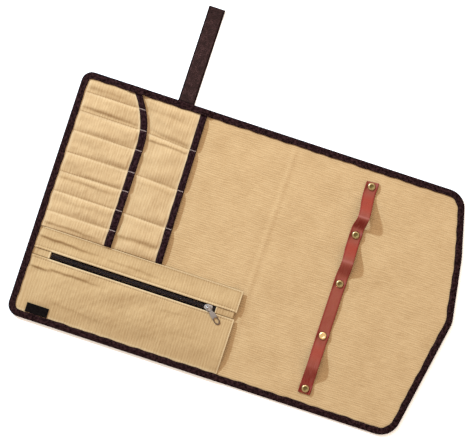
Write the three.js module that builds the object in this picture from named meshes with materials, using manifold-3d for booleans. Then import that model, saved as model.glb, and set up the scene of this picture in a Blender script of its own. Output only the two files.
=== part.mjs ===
// A canvas cutlery roll laid open flat, seen from its inner side.
// Millimetres, +Z up. X runs along the roll, Y from its bottom edge to its top edge.
// The origin is under the middle of the outer box, on the surface that the roll lies on.

import * as THREE from 'three';
import { mergeVertices } from 'three/addons/utils/BufferGeometryUtils.js';
import Module from 'manifold-3d';

const wasm = await Module();
wasm.setup();

const { clamp, smoothstep, degToRad } = THREE.MathUtils;

// Body of the roll
const ROLL_REACH = 631; // left edge to the tip of the pointed end
const ROLL_DEPTH = 377; // bottom edge to top edge
const CORNER_ROUND = 30;
const BASE_CLOTH = 1.6; // two layers of canvas
const POCKET_CLOTH = 1.2;
const GAP = 0.3; // between neighbouring pieces
const ARC_STEP = degToRad(15);

// Tape folded over the outer edge
const EDGE_TAPE = 1.0;
const EDGE_WIDTH = 10.5;
const TAPE_EASE = 0.3; // softening of the tape's folds
const TAPE_RUN = 8; // length over which the tape climbs to the next layer

// Cutlery pockets, from the left edge
const NARROW_DEPTH = 118.4; // pocket bottom to the narrow mouth
const NARROW_SWEEP = 26; // how far the narrow mouth turns back at the top
const NARROW_SWEEP_START = 75; // below the tape of the top edge
const NARROW_RISE = 4.8;
const WIDE_DEPTH = 197;
const WIDE_SKEW = 4.2; // the wide mouth leans this much to the left at the top
const WIDE_RISE = 5.0;
const WIDE_SWELL = 34; // length over which the wide pockets fill out
const MOUTH_TAPE = 0.8;
const NARROW_MOUTH_WIDTH = 11;
const WIDE_MOUTH_WIDTH = 10.3;
const SLOT_FULLNESS = 3.6; // power of the arch, higher is flatter on top

// Zip pocket in the lower left corner
const ZIP_POCKET_LENGTH = 324;
const ZIP_POCKET_HEIGHT = 138.4;
const ZIP_POCKET_PUFF = 5.0;
const HEM_WIDTH = 9;
const HEM_EXTRA = 1.3; // the folded hem's added thickness
const WINDOW_LEFT = 37.8;
const WINDOW_RIGHT_INSET = 31; // from the pocket's right edge
const WINDOW_TOP_INSET = 31.8; // from the pocket's top edge
const WINDOW_WIDTH = 12.2;
const ZIP_TAPE = 0.8;
const ZIP_TAPE_HIDDEN = 5.5; // tape under the folded cloth edges
const ZIP_END_HIDDEN = 7; // tape under the end tabs
const CHAIN_WIDTH = 6;
const CHAIN_THICKNESS = 2.2;

// Zip slider and its puller
const SLIDER_PARK = 11; // from the right end of the zip's window
const SLIDER_LENGTH = 12;
const SLIDER_WIDTH = 9;
const SLIDER_PLATE = 1.1;
const SLIDER_POST = 4;
const CROWN_SPAN = 7; // along the zip, outside
const CROWN_BAR = 1.1; // thickness of the crown's wire
const CROWN_WIDTH = 1.5;
const PULLER_LENGTH = 30;
const PULLER_WIDTH = 8.6;
const PULLER_THICKNESS = 1.4;
const PULLER_BAR = 1.6; // the part of its eye that turns under the crown
const PULLER_EYE_WALL = 1.1;
const PULLER_EYE_LENGTH = 6.4;
const PULLER_TURN = degToRad(-40); // its direction in plan, from +X
const PULLER_STAND = 1.8; // its pivot above the slider's top

// Black label tab on the zip pocket
const LABEL_LEFT = 26.7;
const LABEL_WIDTH = 33.9;
const LABEL_HEIGHT = 14;
const LABEL_CLOTH = 0.8;

// Leather strap with its loops
const LEATHER_X = 455;
const LEATHER_WIDTH = 18.3;
const LEATHER_THICKNESS = 2.0;
const LEATHER_TOP_INSET = 26; // from the roll's top edge
const LEATHER_BOTTOM_INSET = 24;
const LOOP_RISE = 15.5;
const LOOP_SEAT = 7.5; // flat leather on each side of a rivet

// Rivets through leather and canvas
const RIVET_CAP_RADIUS = 5.8;
const RIVET_CAP_HEIGHT = 2.1;
const RIVET_BACK_RADIUS = 5;
const RIVET_POST_RADIUS = 1.8;
const RIVET_SIDES = 12;

// Closing strap, sewn to the outer face at the top edge
const STRAP_X = 157;
const STRAP_WIDTH = 25;
const STRAP_REACH = 147; // beyond the top edge
const STRAP_TAIL = 25; // under the roll
const STRAP_WEB = 1.0; // thickness of the tail
const STRAP_PILE = 1.8; // thickness with its looped pile
const STRAP_HEM = 10;

// Fold across the middle of the base
const CREASE_X = 331;
const CREASE_RISE = 0.7;
const CREASE_HALF = 5;

// Corners of the roll as shares of its reach and depth, rounded by shares of CORNER_ROUND
const OUTLINE = [
  { corner: 'bottom left', along: 0, up: 0, round: 0.6 },
  { corner: 'bottom right', along: 0.948, up: 0, round: 1 },
  { corner: 'tip', along: 1, up: 0.504, round: 1.2 },
  { corner: 'upper break', along: 0.974, up: 0.756, round: 2 },
  { corner: 'top right', along: 0.935, up: 1, round: 0.97 },
  { corner: 'top left', along: 0, up: 1, round: 0.53 },
];

// Pocket seams as shares of the height between the zip pocket and the top edge.
// A seam that goes through also divides the wide pockets. Fill is the slot below the seam.
const SEAMS = [
  { up: 0.106, through: false, fill: 0.97 },
  { up: 0.235, through: true, fill: 1 },
  { up: 0.361, through: false, fill: 0.96 },
  { up: 0.4845, through: true, fill: 1 },
  { up: 0.625, through: false, fill: 0.98 },
  { up: 0.751, through: true, fill: 0.96 },
  { up: 0.874, through: false, fill: 1 },
];
const TOP_SLOT_FILL = 0.96;

// Loops of the leather strap from the top down. Rise is a share of LOOP_RISE, crest
// a share of the span, lean a share of the strap's width that the crest shifts to the right.
const LOOPS = [
  { rise: 1, crest: 0.65, lean: 0.19 },
  { rise: 0.68, crest: 0.53, lean: 0.04 },
  { rise: 0.18, crest: 0.5, lean: 0 },
  { rise: 0.72, crest: 0.52, lean: -0.04 },
];
const RIVET_PLACES = [0.021, 0.25, 0.481, 0.727, 0.977]; // shares of the strap, from its top

// Soft wrinkles of the zip pocket, as shares of its length and height
const WRINKLES = [
  { from: 0.04, to: 0.17, up: 0.575, width: 0.03, rise: 0.28 },
  { from: 0.04, to: 0.3, up: 0.889, width: 0.03, rise: 0.2 },
  { from: 0.5, to: 0.85, up: 0.42, width: 0.06, rise: 0.16 },
];

// Levels of the stack
const BASE_LOW = EDGE_TAPE + GAP;
const BASE_TOP = BASE_LOW + BASE_CLOTH;
const EDGE_INSET = EDGE_TAPE + GAP; // from the outline to a cloth edge inside the tape
const WIDE_TOP = BASE_TOP + GAP + POCKET_CLOTH; // flat wide panel
const LAYER = GAP + POCKET_CLOTH;
const LEATHER_LOW = BASE_TOP + GAP;

// Places that follow from the sizes
const windowRight = ZIP_POCKET_LENGTH - WINDOW_RIGHT_INSET;
const windowHigh = ZIP_POCKET_HEIGHT - WINDOW_TOP_INSET;
const windowLow = windowHigh - WINDOW_WIDTH;
const sliderX = windowRight - SLIDER_PARK;
const leatherLength = ROLL_DEPTH - LEATHER_TOP_INSET - LEATHER_BOTTOM_INSET;

// Closed solids

function solid(points, triangles) {
  const geometry = new THREE.BufferGeometry();
  geometry.setAttribute('position', new THREE.Float32BufferAttribute(points.flat(), 3));
  const volume = triangles.reduce((sum, [a, b, c]) => {
    const [p, q, r] = [a, b, c].map((index) => new THREE.Vector3(...points[index]));
    return sum + p.dot(q.cross(r));
  }, 0);
  const outward = volume > 0 ? triangles : triangles.map(([a, b, c]) => [a, c, b]);
  geometry.setIndex(outward.flat());
  return geometry;
}

// A cloth sheet over a grid: place(column, row) gives x, y, low and high.
function sheet(columns, rows, place) {
  const points = [];
  for (let row = 0; row < rows; row += 1) {
    for (let column = 0; column < columns; column += 1) {
      const { x, y, low, high } = place(column, row);
      points.push([x, y, low], [x, y, high]);
    }
  }
  const low = (column, row) => 2 * (row * columns + column);
  const high = (column, row) => low(column, row) + 1;
  const triangles = [];
  const quad = (a, b, c, d) => triangles.push([a, b, c], [a, c, d]);
  for (let row = 0; row < rows - 1; row += 1) {
    for (let column = 0; column < columns - 1; column += 1) {
      const [c, r] = [column + 1, row + 1];
      quad(high(column, row), high(c, row), high(c, r), high(column, r));
      quad(low(column, r), low(c, r), low(c, row), low(column, row));
    }
  }
  const last = { column: columns - 1, row: rows - 1 };
  for (let column = 0; column < last.column; column += 1) {
    const c = column + 1;
    quad(low(column, 0), low(c, 0), high(c, 0), high(column, 0));
    quad(low(c, last.row), low(column, last.row), high(column, last.row), high(c, last.row));
  }
  for (let row = 0; row < last.row; row += 1) {
    const r = row + 1;
    quad(low(0, r), low(0, row), high(0, row), high(0, r));
    quad(low(last.column, row), low(last.column, r), high(last.column, r), high(last.column, row));
  }
  return solid(points, triangles);
}

// A bent wall swept through stations: wall(station) gives pairs of outer and inner points.
function sweep(stations, wall, closed) {
  const loops = stations.map((station) => {
    const pairs = wall(station);
    return [...pairs.map((pair) => pair.outer), ...pairs.map((pair) => pair.inner).reverse()];
  });
  const size = loops[0].length;
  const half = size / 2;
  const triangles = [];
  const quad = (a, b, c, d) => triangles.push([a, b, c], [a, c, d]);
  const steps = closed ? loops.length : loops.length - 1;
  for (let step = 0; step < steps; step += 1) {
    const here = step * size;
    const next = ((step + 1) % loops.length) * size;
    for (let side = 0; side < size; side += 1) {
      const other = (side + 1) % size;
      quad(here + side, here + other, next + other, next + side);
    }
  }
  if (!closed) {
    const end = (loops.length - 1) * size;
    for (let side = 0; side < half - 1; side += 1) {
      const [a, b, c, d] = [side, side + 1, size - 2 - side, size - 1 - side];
      quad(d, c, b, a);
      quad(end + a, end + b, end + c, end + d);
    }
  }
  return solid(loops.flat(), triangles);
}

function toManifold(geometry) {
  const bare = geometry.clone();
  bare.deleteAttribute('normal');
  bare.deleteAttribute('uv');
  const merged = mergeVertices(bare, 1e-4);
  return new wasm.Manifold(
    new wasm.Mesh({
      numProp: 3,
      vertProperties: new Float32Array(merged.attributes.position.array),
      triVerts: new Uint32Array(merged.index.array),
    }),
  );
}

function fromManifold(body) {
  const mesh = body.getMesh();
  const geometry = new THREE.BufferGeometry();
  geometry.setAttribute('position', new THREE.BufferAttribute(mesh.vertProperties, 3));
  geometry.setIndex(new THREE.BufferAttribute(mesh.triVerts, 1));
  return geometry;
}

const joined = (first, ...others) =>
  fromManifold(others.reduce((body, other) => body.add(toManifold(other)), toManifold(first)));

const cut = (first, ...tools) =>
  fromManifold(tools.reduce((body, tool) => body.subtract(toManifold(tool)), toManifold(first)));

function extrude(shape, depth) {
  return new THREE.ExtrudeGeometry(shape, { depth, bevelEnabled: false, curveSegments: 5 });
}

function polygon(points) {
  return new THREE.Shape(points.map(([x, y]) => new THREE.Vector2(x, y)));
}

// Outline of the roll

function outlineCorners() {
  return OUTLINE.map((row, index) => {
    const at = (other) => {
      const place = OUTLINE[(other + OUTLINE.length) % OUTLINE.length];
      return new THREE.Vector2(place.along * ROLL_REACH, place.up * ROLL_DEPTH);
    };
    const here = at(index);
    const before = here.clone().sub(at(index - 1)).normalize();
    const after = at(index + 1).sub(here).normalize();
    const turn = Math.acos(clamp(before.dot(after), -1, 1));
    return { here, before, after, turn, radius: row.round * CORNER_ROUND };
  });
}

// Stations round the outline, anticlockwise, each with its inward direction
function outlineStations(extra) {
  const inward = (direction) => new THREE.Vector2(-direction.y, direction.x);
  const corners = outlineCorners();
  const stations = [];
  corners.forEach((corner, index) => {
    const reach = corner.radius * Math.tan(corner.turn / 2);
    const start = corner.here.clone().addScaledVector(corner.before, -reach);
    const centre = start.clone().addScaledVector(inward(corner.before), corner.radius);
    const steps = Math.max(2, Math.ceil(corner.turn / ARC_STEP));
    for (let step = 0; step <= steps; step += 1) {
      const angle = (corner.turn * step) / steps;
      const side = inward(corner.before).rotateAround(new THREE.Vector2(), angle);
      stations.push({ point: centre.clone().addScaledVector(side, -corner.radius), side });
    }
    const next = corners[(index + 1) % corners.length];
    const end = next.here.clone().addScaledVector(next.before, -next.radius * Math.tan(next.turn / 2));
    const from = stations[stations.length - 1].point;
    const run = end.clone().sub(from);
    const axis = Math.abs(run.x) > Math.abs(run.y) ? 'x' : 'y';
    const shares = extra
      .filter((place) => place.side === index)
      .map((place) => (place[axis] - from[axis]) / run[axis])
      .filter((share) => share > 0 && share < 1)
      .sort((a, b) => a - b);
    shares.forEach((share) => {
      stations.push({ point: from.clone().addScaledVector(run, share), side: inward(next.before) });
    });
  });
  return stations;
}

const outline = outlineStations([]);

// Left and right ends of the outline, moved inwards by inset, at height y
function span(y, inset) {
  const points = outline.map(({ point, side }) => point.clone().addScaledVector(side, inset));
  const hits = [];
  points.forEach((point, index) => {
    const next = points[(index + 1) % points.length];
    const [low, high] = [Math.min(point.y, next.y), Math.max(point.y, next.y)];
    if (y < low - 1e-6 || y > high + 1e-6) return;
    if (high - low < 1e-6) hits.push(point.x, next.x);
    else hits.push(point.x + ((next.x - point.x) * clamp((y - point.y) / (next.y - point.y), 0, 1)));
  });
  return { left: Math.min(...hits), right: Math.max(...hits) };
}

// Places along the roll spread again between the ends of a row
const spread = (x, from, to, left, right) => left + ((x - from) / (to - from)) * (right - left);

// Base panel

const topInside = ROLL_DEPTH - EDGE_INSET;

function creaseRise(x, y) {
  const across = Math.max(0, 1 - Math.abs(x - CREASE_X) / CREASE_HALF);
  const fade = 2 * EDGE_WIDTH;
  return CREASE_RISE * across * smoothstep(Math.min(y, ROLL_DEPTH - y), EDGE_WIDTH + GAP, fade);
}

function rivetPlaces() {
  const top = ROLL_DEPTH - LEATHER_TOP_INSET;
  return RIVET_PLACES.map((share) => ({ x: LEATHER_X, y: top - share * leatherLength }));
}

function rivetHoles() {
  const height = LEATHER_LOW + LEATHER_THICKNESS + LOOP_RISE;
  return rivetPlaces().map(({ x, y }) => {
    const radius = RIVET_POST_RADIUS + GAP;
    const hole = new THREE.CylinderGeometry(radius, radius, height, RIVET_SIDES);
    return hole.rotateX(Math.PI / 2).translate(x, y, height / 2);
  });
}

function basePanel() {
  const corner = CORNER_ROUND;
  const near = [0, 0.05, 0.2, 0.5, 1].map((share) => EDGE_INSET + share * corner);
  const middle = [0.22, 0.36, 0.5, 0.64, 0.78].map((share) => share * ROLL_DEPTH);
  const ys = [...near, ...middle, ...near.map((y) => ROLL_DEPTH - y).reverse()];
  const crease = [-1, 0, 1].map((step) => CREASE_X + step * CREASE_HALF);
  const shares = [0, 0.16, 0.32, 0.47, ...crease.map((x) => x / ROLL_REACH), 0.62, 0.78, 1];
  const plain = sheet(shares.length, ys.length, (column, row) => {
    const y = ys[row];
    const { left, right } = span(y, EDGE_INSET);
    const held = column >= 4 && column <= 6;
    const even = spread(shares[column], 0, 1, left, right);
    const x = held ? shares[column] * ROLL_REACH : even;
    const rise = creaseRise(x, y);
    return { x, y, low: BASE_LOW + rise, high: BASE_TOP + rise };
  });
  return cut(plain, ...rivetHoles());
}

// Pocket seams, slots and mouths

const pocketBottom = ZIP_POCKET_HEIGHT + GAP;
const pocketTop = ROLL_DEPTH - EDGE_WIDTH - 1;
const seamHeight = (share) => ZIP_POCKET_HEIGHT + share * (ROLL_DEPTH - ZIP_POCKET_HEIGHT);

function slotsBetween(seams) {
  const edges = [pocketBottom, ...seams.map((seam) => seamHeight(seam.up)), pocketTop];
  return edges.slice(1).map((to, index) => ({
    from: edges[index],
    to,
    fill: seams[index] ? seams[index].fill : TOP_SLOT_FILL,
  }));
}

const narrowSlots = slotsBetween(SEAMS);
const wideSlots = slotsBetween(SEAMS.filter((seam) => seam.through));

function arch(y, slots) {
  const slot = slots.find(({ from, to }) => y >= from && y <= to);
  if (!slot) return 0;
  const across = Math.abs((2 * (y - slot.from)) / (slot.to - slot.from) - 1);
  return slot.fill * (1 - across ** SLOT_FULLNESS);
}

function slotRows(slots, shares) {
  const inner = slots.flatMap(({ from, to }) => shares.map((share) => from + share * (to - from)));
  const hidden = [0.4, 0.75, 1].map((share) => pocketTop + share * (topInside - pocketTop));
  return [...inner, pocketTop, ...hidden];
}

const narrowRows = slotRows(narrowSlots, [0, 0.1, 0.3, 0.5, 0.7, 0.9]);
const wideRows = slotRows(wideSlots, [0, 0.05, 0.15, 0.3, 0.5, 0.7, 0.85, 0.95]);

function narrowMouth(y) {
  const start = ROLL_DEPTH - EDGE_WIDTH - NARROW_SWEEP_START;
  const run = Math.max(0, (y - start) / NARROW_SWEEP_START);
  return NARROW_DEPTH - NARROW_SWEEP * run ** 2.2;
}

function wideMouth(y) {
  return WIDE_DEPTH - (WIDE_SKEW * (y - ZIP_POCKET_HEIGHT)) / (ROLL_DEPTH - ZIP_POCKET_HEIGHT);
}

// The panel climbs by one thickness of tape where the mouth's lower leg lies under it
function mouthSeat(x, mouth, width) {
  const end = mouth - width - GAP;
  return (MOUTH_TAPE + GAP) * clamp((x - end + TAPE_RUN) / TAPE_RUN, 0, 1);
}

function wideLow(x, y) {
  const start = narrowMouth(y) + 2;
  const swell = WIDE_RISE * arch(y, wideSlots) * smoothstep(x, start, start + WIDE_SWELL);
  return BASE_TOP + GAP + mouthSeat(x, wideMouth(y), WIDE_MOUTH_WIDTH) + swell;
}

function narrowLow(x, y) {
  const swell = NARROW_RISE * arch(y, narrowSlots) * smoothstep(x, EDGE_WIDTH, NARROW_DEPTH / 2);
  return WIDE_TOP + GAP + mouthSeat(x, narrowMouth(y), NARROW_MOUTH_WIDTH) + swell;
}

function mouthColumns(mouth, width) {
  const end = mouth - width - GAP;
  return [end - TAPE_RUN, end, mouth - MOUTH_TAPE - GAP];
}

function widePocketPanel() {
  const swell = [0, 0.25, 0.5, 0.75, 1];
  return sheet(2 + swell.length + 3, wideRows.length, (column, row) => {
    const y = wideRows[row];
    const { left } = span(y, EDGE_INSET);
    const start = narrowMouth(y) + 2;
    const xs = [
      left,
      (left + start) / 2,
      ...swell.map((share) => start + share * WIDE_SWELL),
      ...mouthColumns(wideMouth(y), WIDE_MOUTH_WIDTH),
    ];
    const low = wideLow(xs[column], y);
    return { x: xs[column], y, low, high: low + POCKET_CLOTH };
  });
}

// The narrow panel's rows, in strips that meet at the seams through both tiers
function narrowStrips() {
  const through = SEAMS.filter((seam) => seam.through).map((seam) => seamHeight(seam.up));
  const ends = [pocketBottom, ...through, topInside];
  return ends.slice(1).map((end, index) => {
    const from = ends[index] + (index > 0 ? GAP / 2 : 0);
    const to = end - (index < through.length ? GAP / 2 : 0);
    return [from, ...narrowRows.filter((y) => y > from + GAP && y < to - GAP), to];
  });
}

function narrowPocketStrip(rows) {
  const shares = [0, 0.25, 0.5, 0.75, 1];
  const rise = [EDGE_WIDTH, NARROW_DEPTH / 2];
  return sheet(1 + shares.length + 3, rows.length, (column, row) => {
    const y = rows[row];
    const { left } = span(y, EDGE_INSET);
    const start = Math.max(rise[0], left + 1);
    const xs = [
      left,
      ...shares.map((share) => start + share * (rise[1] - start)),
      ...mouthColumns(narrowMouth(y), NARROW_MOUTH_WIDTH),
    ];
    const low = narrowLow(xs[column], y);
    return { x: xs[column], y, low, high: low + POCKET_CLOTH };
  });
}

// Tape folded over a cloth edge, as pairs from the lower leg round the fold to the upper leg.
// The section is measured inwards from the fold.
function foldedTape({ width, tape, bottom, top, lowerWidth = width }) {
  const inner = tape + TAPE_EASE;
  return [
    { outer: [lowerWidth, bottom], inner: [lowerWidth, bottom + tape] },
    { outer: [TAPE_EASE, bottom], inner: [Math.min(inner, lowerWidth), bottom + tape] },
    { outer: [0, bottom + TAPE_EASE], inner: [tape, bottom + tape + TAPE_EASE] },
    { outer: [0, top - TAPE_EASE], inner: [tape, top - tape - TAPE_EASE] },
    { outer: [TAPE_EASE, top], inner: [inner, top - tape] },
    { outer: [width, top], inner: [width, top - tape] },
  ];
}

function mouthBinding(rows, mouth, width, lowAt) {
  return sweep(rows, (y) => {
    const edge = mouth(y);
    const low = lowAt(edge, y);
    const bottom = low - GAP - MOUTH_TAPE;
    const top = low + POCKET_CLOTH + GAP + MOUTH_TAPE;
    const place = ([inwards, z]) => [edge - inwards, y, z];
    return foldedTape({ width, tape: MOUTH_TAPE, bottom, top }).map(({ outer, inner }) => ({
      outer: place(outer),
      inner: place(inner),
    }));
  }, false);
}

// Edge binding, which climbs over every layer that ends in it

const zipHem = { x: ZIP_POCKET_LENGTH, y: ZIP_POCKET_HEIGHT };
const topMouths = [
  { mouth: narrowMouth, width: NARROW_MOUTH_WIDTH, layers: 2 },
  { mouth: wideMouth, width: WIDE_MOUTH_WIDTH, layers: 1 },
].map(({ mouth, width, layers }) => ({
  left: mouth(topInside) - width - 2 * GAP,
  right: mouth(pocketTop) + 2 * GAP,
  layers,
}));

// Heights of the tape's upper leg along the top edge, from left to right
function topEdgeSteps() {
  const over = 2 * (MOUTH_TAPE + GAP);
  return topMouths.flatMap(({ left, right, layers }) => [
    { x: left - TAPE_RUN, height: layers * LAYER },
    { x: left, height: layers * LAYER + over },
    { x: right, height: layers * LAYER + over },
    { x: right + TAPE_RUN, height: (layers - 1) * LAYER },
  ]);
}

function bottomEdgeSteps() {
  return [
    { x: zipHem.x + GAP, height: LAYER },
    { x: zipHem.x + TAPE_RUN, height: 0 },
  ];
}

function alongSteps(x, steps) {
  if (x <= steps[0].x) return steps[0].height;
  for (let index = 1; index < steps.length; index += 1) {
    const [from, to] = [steps[index - 1], steps[index]];
    if (x <= to.x) return from.height + ((x - from.x) / (to.x - from.x)) * (to.height - from.height);
  }
  return steps[steps.length - 1].height;
}

function stackHeight(x, y) {
  const upper = alongSteps(x, topEdgeSteps());
  const lower = alongSteps(x, bottomEdgeSteps());
  const climb = clamp((y - zipHem.y + TAPE_RUN) / (TAPE_RUN - GAP), 0, 1);
  return lower + (upper - lower) * climb;
}

// The tape's lower leg stops on each side of the closing strap, and its fold passes above it
function strapNotch(point) {
  const beside = Math.abs(point.x - STRAP_X) - STRAP_WIDTH / 2;
  const near = point.y > ROLL_DEPTH / 2;
  return { stops: near && beside < 2.5 * GAP, rises: near && beside < 1.5 * GAP };
}

function edgeBinding() {
  const [bottom, top, left] = [0, 4, 5];
  const strapSides = [-1, 1].flatMap((side) =>
    [GAP, 2 * GAP, 3 * GAP].map((clear) => STRAP_X + side * (STRAP_WIDTH / 2 + clear)),
  );
  const extra = [
    ...bottomEdgeSteps().map(({ x }) => ({ side: bottom, x, y: 0 })),
    ...[...topEdgeSteps().map(({ x }) => x), ...strapSides].map((x) => ({ side: top, x, y: ROLL_DEPTH })),
    ...[zipHem.y - GAP, zipHem.y - TAPE_RUN].map((y) => ({ side: left, x: 0, y })),
  ];
  return sweep(outlineStations(extra), ({ point, side }) => {
    const notch = strapNotch(point);
    const height = BASE_TOP + stackHeight(point.x, point.y) + GAP + EDGE_TAPE;
    const section = foldedTape({
      width: EDGE_WIDTH,
      lowerWidth: notch.stops ? EDGE_TAPE + GAP / 2 : EDGE_WIDTH,
      tape: EDGE_TAPE,
      bottom: notch.rises ? STRAP_WEB + GAP : 0,
      top: height,
    });
    const place = ([inwards, z]) => [point.x + side.x * inwards, point.y + side.y * inwards, z];
    return section.map(({ outer, inner }) => ({ outer: place(outer), inner: place(inner) }));
  }, true);
}

// Zip pocket

const zipMiddle = windowLow + WINDOW_WIDTH / 2;
const zipLeft = WINDOW_LEFT - ZIP_END_HIDDEN;
const zipRight = windowRight + ZIP_END_HIDDEN;
const puffRight = ZIP_POCKET_LENGTH - HEM_WIDTH;

function wrinkleRise(x, y) {
  return WRINKLES.reduce((sum, { from, to, up, width, rise }) => {
    const start = from * ZIP_POCKET_LENGTH;
    const end = to * ZIP_POCKET_LENGTH;
    const along = smoothstep(x, start, start + (end - start) / 4) * (1 - smoothstep(x, (start + end) / 2, end));
    const across = (y - up * ZIP_POCKET_HEIGHT) / (width * ZIP_POCKET_HEIGHT);
    return sum + rise * ZIP_POCKET_PUFF * along * Math.exp(-across * across);
  }, 0);
}

function zipLow(x, y) {
  const inside = EDGE_WIDTH + 1;
  const along = smoothstep(x, inside, 2 * WINDOW_LEFT) * (1 - smoothstep(x, windowRight - 3, puffRight + 5));
  const up = smoothstep(y, inside, windowLow / 2) * (1 - smoothstep(y, windowHigh, zipHem.y - 3));
  return BASE_TOP + GAP + ZIP_POCKET_PUFF * along * up + wrinkleRise(x, y);
}

function hemThickness(x, y) {
  const side = x > puffRight - 1e-6 ? 1 : 0;
  const top = y > zipHem.y - HEM_WIDTH + 1e-6 ? 1 : 0;
  const pressed = smoothstep(Math.min(x, y), EDGE_WIDTH + 1, 2 * EDGE_WIDTH);
  return POCKET_CLOTH + HEM_EXTRA * Math.max(side, top) * pressed;
}

const zipPlaces = [
  EDGE_INSET, EDGE_WIDTH + 1, 2 * EDGE_WIDTH, zipLeft, WINDOW_LEFT, 1.5 * WINDOW_LEFT, 2 * WINDOW_LEFT,
];
const zipFar = [windowRight - 3, windowRight, zipRight, puffRight - 6, puffRight - 0.6, puffRight];

function zipColumns() {
  const from = 2 * WINDOW_LEFT;
  const middle = [0.2, 0.4, 0.6, 0.8].map((share) => from + share * (windowRight - 3 - from));
  return [...zipPlaces, ...middle, ...zipFar, ZIP_POCKET_LENGTH];
}

// A piece of the zip pocket over the given rows and columns. Offset is its level against the cloth.
function zipCloth({ xs, ys, offset = 0, thickness = () => POCKET_CLOTH }) {
  return sheet(xs.length, ys.length, (column, row) => {
    const y = ys[row];
    const { left } = span(y, EDGE_INSET);
    const x = spread(xs[column], EDGE_INSET, ZIP_POCKET_LENGTH, left, ZIP_POCKET_LENGTH);
    const low = zipLow(x, y) + offset;
    return { x, y, low, high: low + thickness(x, y) };
  });
}

function zipPocketLower() {
  const corner = [0, 0.07, 0.27, 0.55, 1].map((share) => EDGE_INSET + share * 0.6 * CORNER_ROUND);
  const upper = [0.32, 0.42, 0.55, 0.7, 0.79, 0.84, 0.89, 1].map((share) => share * windowLow);
  return zipCloth({ xs: zipColumns(), ys: [...corner, ...upper], thickness: hemThickness });
}

function zipPocketUpper() {
  const run = zipHem.y - windowHigh;
  const hemFoot = zipHem.y - HEM_WIDTH;
  const ys = [0, 0.2, 0.36, 0.52, 0.62].map((share) => windowHigh + share * run);
  return zipCloth({
    xs: zipColumns(),
    ys: [...ys, hemFoot, hemFoot + 0.6, zipHem.y - 3, zipHem.y],
    thickness: hemThickness,
  });
}

function zipEndTab(from, to) {
  const xs = zipColumns().filter((x) => x >= from - 1e-6 && x <= to + 1e-6);
  const ys = [windowLow + GAP, windowHigh - GAP];
  return zipCloth({ xs, ys });
}

const tapeColumns = () => zipColumns().filter((x) => x >= zipLeft && x <= zipRight);
const tapeOffset = -GAP - ZIP_TAPE;
const chainHalf = CHAIN_WIDTH / 2;

function zipTape(side) {
  const inner = zipMiddle + side * (chainHalf + GAP);
  const outer = zipMiddle + side * (WINDOW_WIDTH / 2 + ZIP_TAPE_HIDDEN);
  const window = zipMiddle + (side * WINDOW_WIDTH) / 2;
  const ys = [inner, window, outer].sort((a, b) => a - b);
  return zipCloth({ xs: tapeColumns(), ys, offset: tapeOffset, thickness: () => ZIP_TAPE });
}

// The level of the chain's middle plane
const chainLevel = (x) => zipLow(x, zipMiddle) + tapeOffset + ZIP_TAPE / 2;

function zipChain() {
  const half = CHAIN_THICKNESS / 2;
  const between = (x) => x > WINDOW_LEFT + GAP && x < sliderX - 2;
  const xs = [WINDOW_LEFT + GAP, ...tapeColumns().filter(between), sliderX - 1];
  const shape = [
    { across: -1, edge: 0.35 },
    { across: -0.62, edge: 1 },
    { across: 0.62, edge: 1 },
    { across: 1, edge: 0.35 },
  ];
  return sheet(xs.length, shape.length, (column, row) => {
    const { across, edge } = shape[row];
    const level = chainLevel(xs[column]);
    const y = zipMiddle + across * chainHalf;
    return { x: xs[column], y, low: level - edge * half, high: level + edge * half };
  });
}

// Slider with its crown, and the puller that turns under the crown

const sliderLevel = chainLevel(sliderX);
const plateGap = CHAIN_THICKNESS / 2 + GAP;
const sliderTop = sliderLevel + plateGap + SLIDER_PLATE;
const pivot = new THREE.Vector3(sliderX, zipMiddle, sliderTop + PULLER_STAND);
const barSweep = Math.hypot(PULLER_BAR, PULLER_THICKNESS) / 2; // radius that the turning bar needs

function zipSlider() {
  const [long, wide] = [SLIDER_LENGTH / 2, SLIDER_WIDTH / 2];
  const nose = 0.6 * wide;
  const plan = polygon([
    [-long, -nose], [-0.4 * long, -wide], [long - 1, -wide], [long, -nose],
    [long, nose], [long - 1, wide], [-0.4 * long, wide], [-long, nose],
  ]);
  const topPlate = extrude(plan, SLIDER_PLATE).translate(sliderX, zipMiddle, sliderLevel + plateGap);
  const bottomPlate = extrude(plan, SLIDER_PLATE);
  bottomPlate.translate(sliderX, zipMiddle, sliderLevel - plateGap - SLIDER_PLATE);
  const postHeight = 2 * plateGap + SLIDER_PLATE;
  const post = new THREE.BoxGeometry(SLIDER_POST, SLIDER_POST, postHeight);
  post.translate(sliderX + long - SLIDER_POST / 2 - 1, zipMiddle, sliderLevel);
  const sink = SLIDER_PLATE / 2;
  const inner = PULLER_STAND + barSweep + GAP + sink;
  const half = CROWN_SPAN / 2;
  const crown = polygon([
    [-half, 0], [-half, inner], [-half + CROWN_BAR, inner + CROWN_BAR],
    [half - CROWN_BAR, inner + CROWN_BAR], [half, inner], [half, 0], [half - CROWN_BAR, 0],
    [half - CROWN_BAR, inner - 0.6], [half - CROWN_BAR - 0.6, inner],
    [CROWN_BAR + 0.6 - half, inner], [CROWN_BAR - half, inner - 0.6], [CROWN_BAR - half, 0],
  ]);
  const bail = extrude(crown, CROWN_WIDTH).rotateX(Math.PI / 2);
  bail.translate(sliderX, zipMiddle + CROWN_WIDTH / 2, sliderTop - sink);
  return joined(topPlate, bottomPlate, post, bail);
}

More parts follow.
